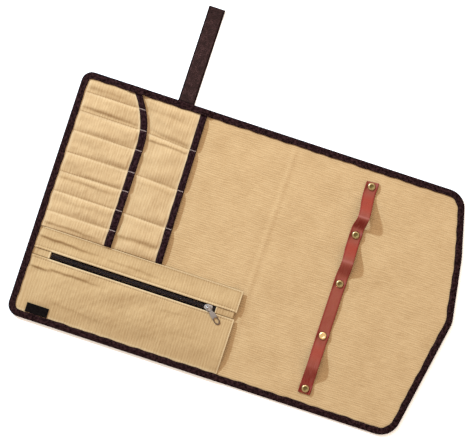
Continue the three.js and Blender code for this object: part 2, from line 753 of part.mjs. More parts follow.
// The puller points along +X from its pivot before it is placed
function pullerPlan() {
  const half = PULLER_WIDTH / 2;
  const bar = PULLER_BAR / 2;
  const neck = PULLER_EYE_LENGTH + 2.6;
  const plan = polygon([
    [-bar, -half], [PULLER_EYE_LENGTH, -half], [neck, -0.42 * half], [neck + 2, -0.42 * half],
    [0.5 * PULLER_LENGTH, -0.95 * half], [0.86 * PULLER_LENGTH, -0.95 * half],
    [0.96 * PULLER_LENGTH, -0.7 * half], [PULLER_LENGTH, 0],
    [0.96 * PULLER_LENGTH, 0.7 * half], [0.86 * PULLER_LENGTH, 0.95 * half],
    [0.5 * PULLER_LENGTH, 0.95 * half], [neck + 2, 0.42 * half],
    [neck, 0.42 * half], [PULLER_EYE_LENGTH, half], [-bar, half],
  ]);
  const inner = half - PULLER_EYE_WALL;
  plan.holes.push(new THREE.Path([
    [bar, -inner], [bar, inner], [0.6 * PULLER_EYE_LENGTH, inner],
    [PULLER_EYE_LENGTH, 0.6 * inner], [PULLER_EYE_LENGTH, -0.6 * inner],
    [0.6 * PULLER_EYE_LENGTH, -inner],
  ].map(([x, y]) => new THREE.Vector2(x, y))));
  const ring = new THREE.Path();
  ring.absellipse(0.76 * PULLER_LENGTH, 0, 0.11 * PULLER_LENGTH, 0.45 * half, 0, 2 * Math.PI, true);
  plan.holes.push(ring);
  return plan;
}

// The slope at which the puller comes to rest on the cloth below it
function pullerDip() {
  const slopes = [0.36, 0.45, 0.6, 0.75, 0.9, 1].flatMap((share) =>
    [-0.5, 0, 0.5].map((side) => {
      const place = new THREE.Vector2(share * PULLER_LENGTH, side * PULLER_WIDTH);
      place.rotateAround(new THREE.Vector2(), PULLER_TURN);
      const [x, y] = [pivot.x + place.x, pivot.y + place.y];
      const cloth = zipLow(x, y) + hemThickness(x, y) + GAP;
      return (pivot.z - PULLER_THICKNESS / 2 - cloth) / (share * PULLER_LENGTH);
    }),
  );
  return Math.atan(Math.min(...slopes));
}

function zipPuller() {
  const plate = extrude(pullerPlan(), PULLER_THICKNESS).translate(0, 0, -PULLER_THICKNESS / 2);
  plate.rotateY(pullerDip()).rotateZ(PULLER_TURN);
  return plate.translate(pivot.x, pivot.y, pivot.z);
}

// Label tab on the lower zip cloth, its foot against the edge tape

function labelTab() {
  const xs = [0, 1 / 3, 2 / 3, 1].map((share) => LABEL_LEFT + share * LABEL_WIDTH);
  const ys = [0, 0.33, 0.66, 1].map((share) => EDGE_WIDTH + GAP + share * LABEL_HEIGHT);
  return sheet(xs.length, ys.length, (column, row) => {
    const [x, y] = [xs[column], ys[row]];
    const low = zipLow(x, y) + POCKET_CLOTH + 2 * GAP;
    return { x, y, low, high: low + LABEL_CLOTH };
  });
}

// Leather strap, riveted down between its loops

function leatherLine() {
  const places = rivetPlaces();
  const top = ROLL_DEPTH - LEATHER_TOP_INSET;
  const middle = LEATHER_LOW + LEATHER_THICKNESS / 2;
  const line = [{ y: top, z: middle, lean: 0 }];
  LOOPS.forEach(({ rise, crest, lean }, index) => {
    const from = places[index].y - LOOP_SEAT;
    const to = places[index + 1].y + LOOP_SEAT;
    const steps = rise > 0.3 ? [0, 0.14, 0.3, 0.45, 0.6, 0.75, 0.88, 1] : [0, 0.3, 0.7, 1];
    const flank = (share) => (1 - Math.cos(Math.PI * share)) / 2;
    const shape = [
      ...steps.map((step) => ({ share: step * crest, lift: flank(step) })),
      ...steps.slice(0, -1).reverse().map((step) => ({ share: 1 - step * (1 - crest), lift: flank(step) })),
    ];
    shape.forEach(({ share, lift }) => {
      const z = middle + rise * LOOP_RISE * lift;
      line.push({ y: from + share * (to - from), z, lean: lean * lift * LEATHER_WIDTH });
    });
  });
  line.push({ y: top - leatherLength, z: middle, lean: 0 });
  return line;
}

function leatherStrap() {
  const line = leatherLine();
  const half = LEATHER_THICKNESS / 2;
  const plain = sweep(line.map((_, index) => index), (index) => {
    const here = line[index];
    const before = line[Math.max(0, index - 1)];
    const after = line[Math.min(line.length - 1, index + 1)];
    const along = new THREE.Vector2(after.y - before.y, after.z - before.z).normalize();
    const [up, out] = [along.x * -half, along.y * half];
    return [-1, 1].map((side) => {
      const x = LEATHER_X + here.lean + (side * LEATHER_WIDTH) / 2;
      return { outer: [x, here.y + out, here.z + up], inner: [x, here.y - out, here.z - up] };
    });
  }, false);
  return cut(plain, ...rivetHoles());
}

function rivet({ x, y }) {
  const under = LEATHER_LOW + LEATHER_THICKNESS + GAP;
  const top = under + RIVET_CAP_HEIGHT;
  const profile = [
    [0, 0], [RIVET_BACK_RADIUS, 0], [RIVET_BACK_RADIUS, EDGE_TAPE - 0.2],
    [RIVET_POST_RADIUS, EDGE_TAPE], [RIVET_POST_RADIUS, under], [RIVET_CAP_RADIUS, under],
    [RIVET_CAP_RADIUS, under + 0.7], [0.8 * RIVET_CAP_RADIUS, top - 0.3],
    [0.4 * RIVET_CAP_RADIUS, top], [0, top - 0.35],
  ].map(([radius, z]) => new THREE.Vector2(radius, z));
  const turned = new THREE.LatheGeometry(profile, RIVET_SIDES).rotateX(Math.PI / 2);
  return turned.translate(x, y, 0);
}

// Closing strap

function closingStrap() {
  const end = ROLL_DEPTH + STRAP_REACH;
  const side = polygon([
    [ROLL_DEPTH - STRAP_TAIL, 0], [end, 0], [end, STRAP_PILE + STRAP_WEB],
    [end - STRAP_HEM, STRAP_PILE + STRAP_WEB], [end - STRAP_HEM - 1, STRAP_PILE],
    [ROLL_DEPTH + 3 * GAP, STRAP_PILE], [ROLL_DEPTH + GAP, STRAP_WEB],
    [ROLL_DEPTH - STRAP_TAIL, STRAP_WEB],
  ]);
  const web = extrude(side, STRAP_WIDTH).rotateY(Math.PI / 2).rotateX(Math.PI / 2);
  return web.translate(STRAP_X - STRAP_WIDTH / 2, 0, 0);
}

// Finishes and assembly

const finish = (color, roughness, metalness = 0) =>
  new THREE.MeshStandardMaterial({ color, roughness, metalness });

const canvas = finish(0xdbb98b, 0.95);
const pocketCanvas = finish(0xe2c297, 0.95);
const zipCanvas = finish(0xd3b085, 0.95);
const edgeTape = finish(0x2d1a1b, 0.8);
const mouthTape = finish(0x3c292a, 0.8);
const pile = finish(0x422e2d, 0.98);
const zipTapeBlack = finish(0x0f0808, 0.85);
const coil = finish(0x302827, 0.5);
const labelBlack = finish(0x14100f, 0.8);
const leather = finish(0xa75643, 0.6);
const steel = finish(0x9a9896, 0.35, 0.9);
const brass = finish(0x8b6b40, 0.45, 0.85);

const rollRight = Math.max(...outline.map(({ point }) => point.x));
const roll = new THREE.Group();
roll.position.set(-rollRight / 2, -(ROLL_DEPTH + STRAP_REACH) / 2, 0);

function add(name, geometry, material) {
  const mesh = new THREE.Mesh(geometry, material);
  mesh.name = name;
  roll.add(mesh);
}

add('base_panel', basePanel(), canvas);
add('edge_binding', edgeBinding(), edgeTape);
add('wide_pocket_panel', widePocketPanel(), pocketCanvas);
add('wide_mouth_binding', mouthBinding(wideRows, wideMouth, WIDE_MOUTH_WIDTH, wideLow), mouthTape);
narrowStrips().forEach((rows, index) => {
  add(`narrow_pocket_panel_${index + 1}`, narrowPocketStrip(rows), pocketCanvas);
});
add('narrow_mouth_binding', mouthBinding(narrowRows, narrowMouth, NARROW_MOUTH_WIDTH, narrowLow), mouthTape);
add('zip_pocket_lower', zipPocketLower(), zipCanvas);
add('zip_pocket_upper', zipPocketUpper(), zipCanvas);
add('zip_end_tab_left', zipEndTab(EDGE_INSET, WINDOW_LEFT), zipCanvas);
add('zip_end_tab_right', zipEndTab(windowRight, ZIP_POCKET_LENGTH), zipCanvas);
add('zip_tape_lower', zipTape(-1), zipTapeBlack);
add('zip_tape_upper', zipTape(1), zipTapeBlack);
add('zip_chain', zipChain(), coil);
add('zip_slider', zipSlider(), steel);
add('zip_puller', zipPuller(), steel);
add('label_tab', labelTab(), labelBlack);
add('leather_strap', leatherStrap(), leather);
rivetPlaces().forEach((place, index) => add(`rivet_${index + 1}`, rivet(place), brass));
add('closing_strap', closingStrap(), pile);

export default roll;
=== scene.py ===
"""The looks of a canvas cutlery roll that lies open, seen from its inner side.

Sizes are millimetres of the opened roll, x from its left edge and y from its bottom edge.
spot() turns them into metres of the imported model's frame.
"""

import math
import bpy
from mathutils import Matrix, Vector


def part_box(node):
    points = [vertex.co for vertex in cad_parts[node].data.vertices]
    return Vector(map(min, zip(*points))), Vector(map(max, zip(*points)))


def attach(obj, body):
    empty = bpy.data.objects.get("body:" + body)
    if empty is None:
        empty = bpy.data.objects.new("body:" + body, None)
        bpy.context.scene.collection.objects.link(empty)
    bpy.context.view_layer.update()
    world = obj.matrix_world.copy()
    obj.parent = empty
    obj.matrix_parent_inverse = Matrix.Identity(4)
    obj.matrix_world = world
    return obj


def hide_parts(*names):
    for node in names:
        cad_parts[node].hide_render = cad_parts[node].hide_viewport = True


bl_info = {
    "name": "Cutlery roll",
    "version": (1, 0, 0),
    "blender": (4, 5, 0),
    "location": "3D View > Sidebar > Cutlery roll",
    "description": "Makes the cloth, leather and metal of an opened cutlery roll round its packed model",
    "category": "Object",
}

import bmesh
import bpy
import numpy as np
from bpy.props import FloatProperty, FloatVectorProperty, IntProperty, PointerProperty
from mathutils import Matrix, Vector

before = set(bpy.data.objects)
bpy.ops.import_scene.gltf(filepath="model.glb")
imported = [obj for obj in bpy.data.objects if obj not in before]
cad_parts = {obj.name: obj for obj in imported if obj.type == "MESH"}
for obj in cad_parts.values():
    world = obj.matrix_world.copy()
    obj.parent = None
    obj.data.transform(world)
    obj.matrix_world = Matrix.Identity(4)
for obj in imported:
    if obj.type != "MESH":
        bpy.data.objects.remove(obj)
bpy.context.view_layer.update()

MM = 0.001
roll_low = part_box("edge_binding")[0]

# Body of the roll
ROLL_REACH = 631.0
ROLL_DEPTH = 377.0
CORNER_ROUND = 30.0
BASE_CLOTH = 1.6
POCKET_CLOTH = 1.2
GAP = 0.3
ARC_POINTS = 30

# Tape folded over the outer edge
EDGE_TAPE = 1.0
EDGE_WIDTH = 10.5
TAPE_FOLD_REACH = 2.2
NOTCH_MARGIN = 3.0
NOTCH_LEG = 2.3
TAPE_RUN = 8.0

# Cutlery pockets
NARROW_DEPTH = 118.4
NARROW_SWEEP = 26.0
NARROW_SWEEP_START = 75.0
NARROW_SWEEP_POWER = 2.2
NARROW_RISE = 1.8
NARROW_MOUTH_WIDTH = 11.0
WIDE_DEPTH = 197.0
WIDE_SKEW = 4.2
WIDE_RISE = 3.1
WIDE_SWELL = 34.0
WIDE_MOUTH_WIDTH = 10.3
MOUTH_TAPE = 0.8
MOUTH_SEAT = 0.6
SEAM_PINCH = 0.6
SLOT_FULLNESS = 4.5
SLACK = 1.1
SEAM_GROOVE = 0.75
FOLD_DEPTH = 2.3
POCKET_ROWS = 176

# Zip pocket
ZIP_LENGTH = 324.0
ZIP_HEIGHT = 138.4
ZIP_PUFF = 5.0
HEM_WIDTH = 9.0
WINDOW_LEFT = 37.8
WINDOW_RIGHT = 293.0
WINDOW_HIGH = 106.6
WINDOW_LOW = 94.4
ZIP_MIDDLE = (WINDOW_HIGH + WINDOW_LOW) / 2
LIP = 0.8
LIP_STITCH = 3.0
ZIP_TOP_STITCH = 2.0
ZIP_SIDE_STITCH = 2.2
ZIP_EDGE_RISE = 4.0
ZIP_TAPE = 0.8
ZIP_TAPE_HIDDEN = 5.5
ZIP_END_HIDDEN = 7.0
CHAIN_HALF = 3.0
CHAIN_THICKNESS = 2.2
TOOTH_PITCH = 1.27
CLOSED_TOOTH = 1.15
OPEN_TOOTH = 1.75

# Zip slider and puller
SLIDER_X = 282.0
SLIDER_LENGTH = 12.0
SLIDER_WIDTH = 9.0
SLIDER_PLATE = 1.1
CROWN_HALF = 3.5
CROWN_BAR = 1.1
CROWN_WIDTH = 1.5
PULLER_LENGTH = 30.0
PULLER_WIDTH = 8.6
PULLER_THICKNESS = 1.4
PULLER_BAR = 1.6
PULLER_EYE_WALL = 1.1
PULLER_EYE_LENGTH = 6.4
PULLER_TURN = math.radians(-40)
PULLER_STAND = 1.8

# Label tab
LABEL_LEFT = 26.7
LABEL_WIDTH = 33.9
LABEL_HEIGHT = 14.0
LABEL_CLOTH = 0.8

# Leather strap and rivets
LEATHER_X = 455.0
LEATHER_WIDTH = 18.3
LEATHER_THICKNESS = 2.0
LEATHER_TOP = 351.0
LEATHER_LENGTH = 327.0
LEATHER_BOTTOM = LEATHER_TOP - LEATHER_LENGTH
LEATHER_CURL = 2.6
LOOP_RISE = 15.5
LOOP_SEAT = 7.5
RIVET_CAP = 5.8
RIVET_CAP_HEIGHT = 2.1
RIVET_BACK = 5.0
RIVET_POST = 1.8
RIVET_STEPS = 40
# The rivet whose brass gets a brighter colour, a painted bright reflection
BRIGHT_REFLECTION_RIVET = 4

# Closing strap
STRAP_X = 157.0
STRAP_WIDTH = 25.0
STRAP_REACH = 147.0
STRAP_TAIL = 25.0
STRAP_WEB = 1.0
STRAP_PILE = 1.8
STRAP_HEM = 10.0
STRAP_TOP = 2.8
STRAP_FOLD = STRAP_TOP / 2
SELVEDGE = 2.3

# Heights of the threads' middles above the cloth
SEAM_THREAD_RISE = 0.16
ZIP_THREAD_RISE = 0.12
EDGE_THREAD_RISE = 0.14

# Fold across the middle of the base
CREASE_X = 331.0
CREASE_RISE = 0.7

# Corners of the roll, anticlockwise from the bottom left: places as shares of its reach and depth,
# and roundness as a share of the corner round
OUTLINE = (
    {"along": 0.0, "up": 0.0, "round": 0.6},
    {"along": 0.948, "up": 0.0, "round": 1.0},
    {"along": 1.0, "up": 0.504, "round": 1.2},
    {"along": 0.974, "up": 0.756, "round": 2.0},
    {"along": 0.935, "up": 1.0, "round": 0.97},
    {"along": 0.0, "up": 1.0, "round": 0.53},
)

# Pocket seams from the zip pocket up, as shares of the height above it. Those that run through
# both pockets drop by some millimetres from the narrow pocket to the mouth of the wide one.
SEAMS = (
    {"up": 0.106, "through": False, "fill": 0.97, "pinch": 0.35},
    {"up": 0.235, "through": True, "fill": 1.0, "pinch": 0.35, "drop": 2.6},
    {"up": 0.361, "through": False, "fill": 0.96, "pinch": 0.6},
    {"up": 0.4845, "through": True, "fill": 1.0, "pinch": 0.35, "drop": 3.9},
    {"up": 0.625, "through": False, "fill": 0.98, "pinch": 0.4},
    {"up": 0.751, "through": True, "fill": 0.96, "pinch": 1.1, "drop": 5.2},
    {"up": 0.874, "through": False, "fill": 1.0, "pinch": 0.6},
)
TOP_SLOT_FILL = 0.96

# Stretches of the leather between its rivets, from the top down: the rise as a share of the loop
# rise, the place of the crest along the stretch, and the lean as a share of the strap's width
LOOPS = (
    {"rise": 0.96, "crest": 0.65, "lean": 0.13},
    {"rise": 0.75, "crest": 0.53, "lean": 0.02},
    {"rise": 0.07, "crest": 0.5, "lean": 0.0},
    {"rise": 0.62, "crest": 0.56, "lean": -0.03},
)
# Rivets, as shares of the strap's length from its top
RIVET_PLACES = (0.021, 0.25, 0.481, 0.727, 0.977)

# Broad wrinkles of the zip pocket, as shares of its length, its height and its puff
WRINKLES = (
    {"start": 0.04, "end": 0.17, "up": 0.575, "width": 0.03, "rise": 0.28},
    {"start": 0.04, "end": 0.3, "up": 0.889, "width": 0.03, "rise": 0.2},
    {"start": 0.5, "end": 0.85, "up": 0.42, "width": 0.06, "rise": 0.16},
)

# Folds of the cloth: their line in millimetres, their step as a share of the fold depth, and how
# steep and how wide it is in millimetres
ZIP_FOLDS = (
    {"x": 12.0, "y": 124.4, "to_x": 130.0, "to_y": 120.6, "step": 1.0, "sharp": 2.0, "reach": 8.0},
    {"x": 12.0, "y": 78.6, "to_x": 50.0, "to_y": 78.0, "step": 0.9, "sharp": 1.7, "reach": 6.0},
    {"x": 44.0, "y": 81.2, "to_x": 140.0, "to_y": 79.5, "step": 0.8, "sharp": 2.0, "reach": 7.0},
    {"x": 120.0, "y": 121.0, "to_x": 235.0, "to_y": 117.5, "step": 0.4, "sharp": 2.0, "reach": 8.0},
    {"x": 60.0, "y": 36.0, "to_x": 170.0, "to_y": 27.0, "step": 0.25, "sharp": 3.0, "reach": 9.0},
    {"x": 215.0, "y": 76.0, "to_x": 275.0, "to_y": 79.0, "step": 0.2, "sharp": 2.0, "reach": 8.0},
    {"x": 225.0, "y": 47.0, "to_x": 318.0, "to_y": 53.0, "step": 0.15, "sharp": 3.0, "reach": 10.0},
)
NARROW_FOLDS = (
    {"x": 11.0, "y": 216.0, "to_x": 125.0, "to_y": 214.0, "step": 0.6, "sharp": 2.2, "reach": 5.0},
    {"x": 11.0, "y": 324.0, "to_x": 120.0, "to_y": 322.0, "step": 0.75, "sharp": 2.6, "reach": 8.0},
    {"x": 11.0, "y": 355.0, "to_x": 110.0, "to_y": 352.0, "step": 0.6, "sharp": 3.0, "reach": 7.0},
    {"x": 11.0, "y": 262.0, "to_x": 90.0, "to_y": 264.0, "step": 0.2, "sharp": 2.0, "reach": 7.0},
    {"x": 11.0, "y": 146.0, "to_x": 130.0, "to_y": 144.5, "step": 0.85, "sharp": 2.2, "reach": 6.0},
    {"x": 30.0, "y": 182.0, "to_x": 110.0, "to_y": 184.0, "step": 0.2, "sharp": 2.0, "reach": 6.0},
)
WIDE_FOLDS = (
    {"x": 114.0, "y": 307.8, "to_x": 260.0, "to_y": 302.0, "step": 0.8, "sharp": 1.6, "reach": 5.0},
    {"x": 112.0, "y": 159.0, "to_x": 240.0, "to_y": 161.0, "step": 0.9, "sharp": 3.4, "reach": 9.0},
    {"x": 112.0, "y": 244.0, "to_x": 230.0, "to_y": 240.0, "step": 0.3, "sharp": 2.6, "reach": 8.0},
    {"x": 104.0, "y": 352.0, "to_x": 210.0, "to_y": 345.0, "step": 0.35, "sharp": 3.0, "reach": 9.0},
)

# Brightness of a level white face in the finished picture, by which the colours are divided
DAYLIGHT = 2.2

# Stage: the picture's middle, where the key light stands across the floor, and the lights' colours
VIEW_CENTRE = Vector((-0.0395, -0.0283, 0.0))
KEY_WAY = {"x": -0.855, "y": 0.518}
KEY_DISTANCE = 5.0
KEY_SIZE = 0.34
KEY_COLOUR = (0.6, 0.82, 1.0)
SOFT_PLACE = Vector((-0.15, 1.0, 0.9))
SOFT_SIZE = 0.8
SOFT_COLOUR = (1.0, 0.93, 0.86)
SKY_COLOUR = (1.0, 0.86, 0.74, 1.0)
FLOOR_DROP = 0.0002
SENSOR_WIDTH = 36.0


def tone(red, green, blue):
    """The shader's own values for a colour of the finished picture, from 0 to 255."""
    shares = [value / 255 for value in (red, green, blue)]
    return tuple((s / 12.92 if s <= 0.04045 else ((s + 0.055) / 1.055) ** 2.4) / DAYLIGHT for s in shares)


def colour_prop(name, description, shade):
    return FloatVectorProperty(
        name=name, description=description, subtype="COLOR", size=3, min=0.0, max=1.0, default=tone(*shade)
    )


def number_prop(name, description, start, **limits):
    return FloatProperty(name=name, description=description, default=start, **limits)


def length_prop(name, description, millimetres):
    limits = {"subtype": "DISTANCE", "unit": "LENGTH", "min": 0.0, "precision": 5}
    return number_prop(name, description, millimetres * MM, **limits)


class RollSizes(bpy.types.PropertyGroup):
    stitch_length: length_prop("Stitch length", "Length of one stitch that shows", 2.5)
    stitch_pitch: length_prop("Stitch pitch", "Distance from one stitch to the next", 3.3)
    thread_width: length_prop("Thread width", "Width of the sewing thread", 0.62)
    base_rib: length_prop("Base rib", "Distance between two ribs of the base cloth", 3.2)
    pocket_rib: length_prop("Pocket rib", "Distance between two ribs of the pocket cloth", 4.1)
    base_wave: length_prop("Base waves", "Height of the base cloth's soft waves", 0.45)
    cloth_step: length_prop("Cloth step", "Distance between two points of the base cloth", 2.9)


class RollColours(bpy.types.PropertyGroup):
    base: colour_prop("Base", "Canvas of the base", (234, 195, 144))
    pocket: colour_prop("Pockets", "Canvas of the cutlery pockets", (233, 196, 147))
    zip_cloth: colour_prop("Zip pocket", "Canvas of the zip pocket", (224, 187, 137))
    edge: colour_prop("Edge tape", "Tape round the roll", (20, 6, 7))
    mouth: colour_prop("Mouth tape", "Tape on the pocket mouths", (24, 7, 9))
    pile: colour_prop("Strap pile", "Looped pile of the closing strap", (50, 31, 28))
    zip_tape: colour_prop("Zip tape", "Woven tape of the zip", (8, 3, 4))
    coil: colour_prop("Zip coil", "Coil of the zip", (40, 30, 34))
    label: colour_prop("Label", "Woven label", (17, 12, 12))
    leather: colour_prop("Leather", "Loop strap", (171, 89, 70))
    brass: colour_prop("Brass", "Rivets", (194, 168, 122))
    steel: colour_prop("Steel", "Slider and puller", (236, 232, 232))
    sand_thread: colour_prop("Sand thread", "Thread on the canvas", (172, 132, 90))
    dark_thread: colour_prop("Dark thread", "Thread on the tapes", (62, 44, 44))
    pale_thread: colour_prop("Pale thread", "Thread that crosses the mouth tapes", (205, 180, 172))


class RollStage(bpy.types.PropertyGroup):
    lens: number_prop("Lens", "Focal length in millimetres", 120.0, min=20.0)
    view_width: number_prop("View width", "Width that the picture spans", 0.686, unit="LENGTH", min=0.1)
    view_turn: number_prop("View turn", "Turn of the picture", math.radians(18.2), subtype="ANGLE")
    key_power: number_prop("Key power", "Power of the key light", 470.0, unit="POWER", min=0.0)
    key_height: number_prop("Key height", "Angle above the floor", math.radians(31), subtype="ANGLE")
    soft_power: number_prop("Soft power", "Power of the soft light", 9.0, unit="POWER", min=0.0)
    fill: number_prop("Fill", "Strength of the light from all sides", 1.16, min=0.0)
    floor_shade: IntProperty(
        name="Floor shade", description="Brightness of the floor", min=0, max=255, default=255
    )


# Shapes


def spot(x, y, z):
    """Metres of the model's frame from millimetres of the opened roll."""
    x, y, z = np.broadcast_arrays(x, y, z)
    return np.stack([x * MM + roll_low.x, y * MM + roll_low.y, z * MM], axis=-1)


def smooth(value, start, end):
    share = np.clip((value - start) / (end - start), 0.0, 1.0)
    return share * share * (3.0 - 2.0 * share)


def hill(value, centre, width):
    return np.exp(-(((value - centre) / width) ** 2))


def ripples(x, y, length, seed, count=9):
    """Soft waves of about that length, from -1 to 1, the same ones for the same seed."""
    chance = np.random.RandomState(seed)
    total = 0.0
    for _ in range(count):
        turn = chance.uniform(0.0, math.tau)
        phase = chance.uniform(0.0, math.tau)
        size = length * chance.uniform(0.7, 1.6)
        total = total + np.sin((x * math.cos(turn) + y * math.sin(turn)) * math.tau / size + phase)
    return total / math.sqrt(count)


def outline_ring():
    """Points round the roll, anticlockwise, each with its inward direction."""
    corners = [np.array((row["along"] * ROLL_REACH, row["up"] * ROLL_DEPTH)) for row in OUTLINE]
    points = []
    sides = []
    for index, row in enumerate(OUTLINE):
        here = corners[index]
        before = here - corners[index - 1]
        before = before / np.linalg.norm(before)
        after = corners[(index + 1) % len(corners)] - here
        after = after / np.linalg.norm(after)
        turn = math.acos(float(np.clip(before @ after, -1.0, 1.0)))
        radius = row["round"] * CORNER_ROUND
        inward = np.array((-before[1], before[0]))
        centre = here - before * radius * math.tan(turn / 2) + inward * radius
        for angle in np.linspace(0.0, turn, ARC_POINTS):
            cosine = math.cos(angle)
            sine = math.sin(angle)
            side = np.array((inward[0] * cosine - inward[1] * sine, inward[0] * sine + inward[1] * cosine))
            points.append(centre - side * radius)
            sides.append(side)
    points.append(points[0])
    sides.append(sides[0])
    return np.array(points), np.array(sides)


ring_points, ring_sides = outline_ring()
ring_along = np.concatenate(([0.0], np.cumsum(np.linalg.norm(np.diff(ring_points, axis=0), axis=1))))
ring_length = float(ring_along[-1])


def ring_at(share):
    """Place and inward direction at a share of the way round the roll."""
    at = share * ring_length
    x, y = (np.interp(at, ring_along, ring_points[:, axis]) for axis in (0, 1))
    side_x, side_y = (np.interp(at, ring_along, ring_sides[:, axis]) for axis in (0, 1))
    return x, y, side_x, side_y


def ends_at(y, inset):
    """Left and right ends of the roll, moved inwards by inset, at height y."""
    x, at_y, side_x, side_y = ring_at(np.linspace(0.0, 1.0, 4000))
    x = x + side_x * inset
    at_y = at_y + side_y * inset
    found = []
    for turned in (side_x > 0.02, side_x < -0.02):
        order = np.argsort(at_y[turned])
        found.append(np.interp(y, at_y[turned][order], x[turned][order]))
    return found


EDGE_INSET = EDGE_TAPE + GAP
BASE_LOW = EDGE_TAPE + GAP
BASE_TOP = BASE_LOW + BASE_CLOTH
LAYER = GAP + POCKET_CLOTH
WIDE_TOP = BASE_TOP + LAYER
LEATHER_LOW = BASE_TOP + GAP
OVER_MOUTH = POCKET_CLOTH + GAP + MOUTH_TAPE
POCKET_BOTTOM = ZIP_HEIGHT + GAP
POCKET_TOP = ROLL_DEPTH - EDGE_WIDTH - 1.0
TOP_INSIDE = ROLL_DEPTH - EDGE_INSET


def seam_height(share):
    return ZIP_HEIGHT + share * (ROLL_DEPTH - ZIP_HEIGHT)


def slots_between(seams):
    """Edges of the slots from the bottom up, and how full each slot stands."""
    edges = np.array([POCKET_BOTTOM, *(seam_height(seam["up"]) for seam in seams), POCKET_TOP])
    fills = np.array([*(seam["fill"] for seam in seams), TOP_SLOT_FILL])
    return edges, fills


THROUGH_SEAMS = [seam for seam in SEAMS if seam["through"]]
narrow_slots = slots_between(SEAMS)
wide_slots = slots_between(THROUGH_SEAMS)


def seam_drop(x):
    """Share of its drop that a seam has at x, from the narrow pocket to the mouth of the wide one."""
    return np.clip((x - NARROW_DEPTH + NARROW_MOUTH_WIDTH) / (WIDE_DEPTH - NARROW_DEPTH), 0.0, 1.0)


def wide_level(x, y):
    """Height at which a place of the wide pocket would lie if its seams ran level."""
    levels = [POCKET_BOTTOM, *(seam_height(seam["up"]) for seam in THROUGH_SEAMS), POCKET_TOP]
    drops = [0.0, *(seam["drop"] for seam in THROUGH_SEAMS), 0.0]
    return y + seam_drop(x) * np.interp(y, np.subtract(levels, drops), drops)


def arch(y, slots):
    edges, fills = slots
    place = np.clip(np.searchsorted(edges, y, side="right") - 1, 0, len(fills) - 1)
    across = np.abs(2 * (y - edges[place]) / (edges[place + 1] - edges[place]) - 1)
    raised = fills[place] * (1 - np.minimum(across, 1.0) ** SLOT_FULLNESS)
    return np.where((y > edges[0]) & (y < edges[-1]), raised, 0.0)


def narrow_mouth(y):
    start = ROLL_DEPTH - EDGE_WIDTH - NARROW_SWEEP_START
    run = np.maximum(0.0, (y - start) / NARROW_SWEEP_START)
    return NARROW_DEPTH - NARROW_SWEEP * run**NARROW_SWEEP_POWER


def wide_mouth(y):
    return WIDE_DEPTH - WIDE_SKEW * (y - ZIP_HEIGHT) / (ROLL_DEPTH - ZIP_HEIGHT)


def mouth_seat(x, mouth, width):
    end = mouth - width - GAP
    return MOUTH_SEAT * np.clip((x - end + TAPE_RUN) / TAPE_RUN, 0.0, 1.0)


def wide_low(x, y):
    start = narrow_mouth(y) + 2.0
    swell = WIDE_RISE * arch(wide_level(x, y), wide_slots) * smooth(x, start, start + WIDE_SWELL)
    return BASE_TOP + GAP + mouth_seat(x, wide_mouth(y), WIDE_MOUTH_WIDTH) + swell


def narrow_low(x, y):
    swell = NARROW_RISE * arch(y, narrow_slots) * smooth(x, EDGE_WIDTH, NARROW_DEPTH / 2)
    return WIDE_TOP + GAP + mouth_seat(x, narrow_mouth(y), NARROW_MOUTH_WIDTH) + swell


def seam_dents(x, y, seams):
    """Grooves along the stitched seams, with a hollow and small puckers beside them."""
    total = 0.0
    for index, seam in enumerate(seams):
        away = y - seam_height(seam["up"]) - 0.5 * np.sin(x / 31.0 + 1.7 * index)
        turns = x * math.tau / 6.4 + 2.1 * index + 0.6 * np.sin(x / 9.0)
        pucker = 0.05 * np.sin(turns) * hill(away, 0.0, 3.4)
        hollow = 2.1 * seam["pinch"] * hill(away, 0.6, 4.2)
        total = total - SEAM_GROOVE * hill(away, 0.0, 0.9) - hollow + pucker
    return total


# The two tiers of pockets. level gives the height at which a place would lie if its seams ran level.
# The dents and folds begin at start and are full after fade, and the cloth never sinks under floor.
WIDE = {
    "name": "wide_pocket",
    "mouth": wide_mouth,
    "low": wide_low,
    "width": WIDE_MOUTH_WIDTH,
    "level": wide_level,
    "seams": THROUGH_SEAMS,
    "slots": wide_slots,
    "folds": WIDE_FOLDS,
    "seed": 31,
    "start": lambda y: narrow_mouth(y) + 1.5,
    "fade": 6.5,
    "floor": BASE_TOP + GAP,
    "columns": 120,
    "flat": (196.0, 243.0),
    "nodes": ["wide_pocket_panel"],
    "below": "base_cloth",
    "tape": "wide_mouth_tape",
    "tape_node": "wide_mouth_binding",
}
NARROW = {
    "name": "narrow_pocket",
    "mouth": narrow_mouth,
    "low": narrow_low,
    "width": NARROW_MOUTH_WIDTH,
    "level": lambda x, y: y,
    "seams": SEAMS,
    "slots": narrow_slots,
    "folds": NARROW_FOLDS,
    "seed": 47,
    "start": lambda y: EDGE_WIDTH + 0.5,
    "fade": 7.5,
    "floor": WIDE_TOP + GAP,
    "columns": 84,
    "flat": (117.0, 250.0),
    "nodes": [f"narrow_pocket_panel_{number}" for number in range(1, 5)],
    "below": "wide_pocket",
    "tape": "narrow_mouth_tape",
    "tape_node": "narrow_mouth_binding",
}


def mouth_pinch(tier, x, y):
    """Pulls a mouth tape down where the seams cross it."""
    level = tier["level"](x, y)
    return -SEAM_PINCH * sum(hill(level, seam_height(seam["up"]), 2.6) for seam in tier["seams"])


def fold_runs(x, y, rows):
    """For each fold, its row, the distance from its line, and its strength there."""
    for row in rows:
        run = np.array((row["to_x"] - row["x"], row["to_y"] - row["y"]))
        length = float(np.linalg.norm(run))
        along = ((x - row["x"]) * run[0] + (y - row["y"]) * run[1]) / length
        away = ((x - row["x"]) * -run[1] + (y - row["y"]) * run[0]) / length
        away = away + 0.5 * np.sin(along / 9.0) + 0.2 * np.sin(along / 3.1)
        yield row, away, row["step"] * smooth(along, -3.0, 4.0) * (1 - smooth(along, 0.35 * length, length))


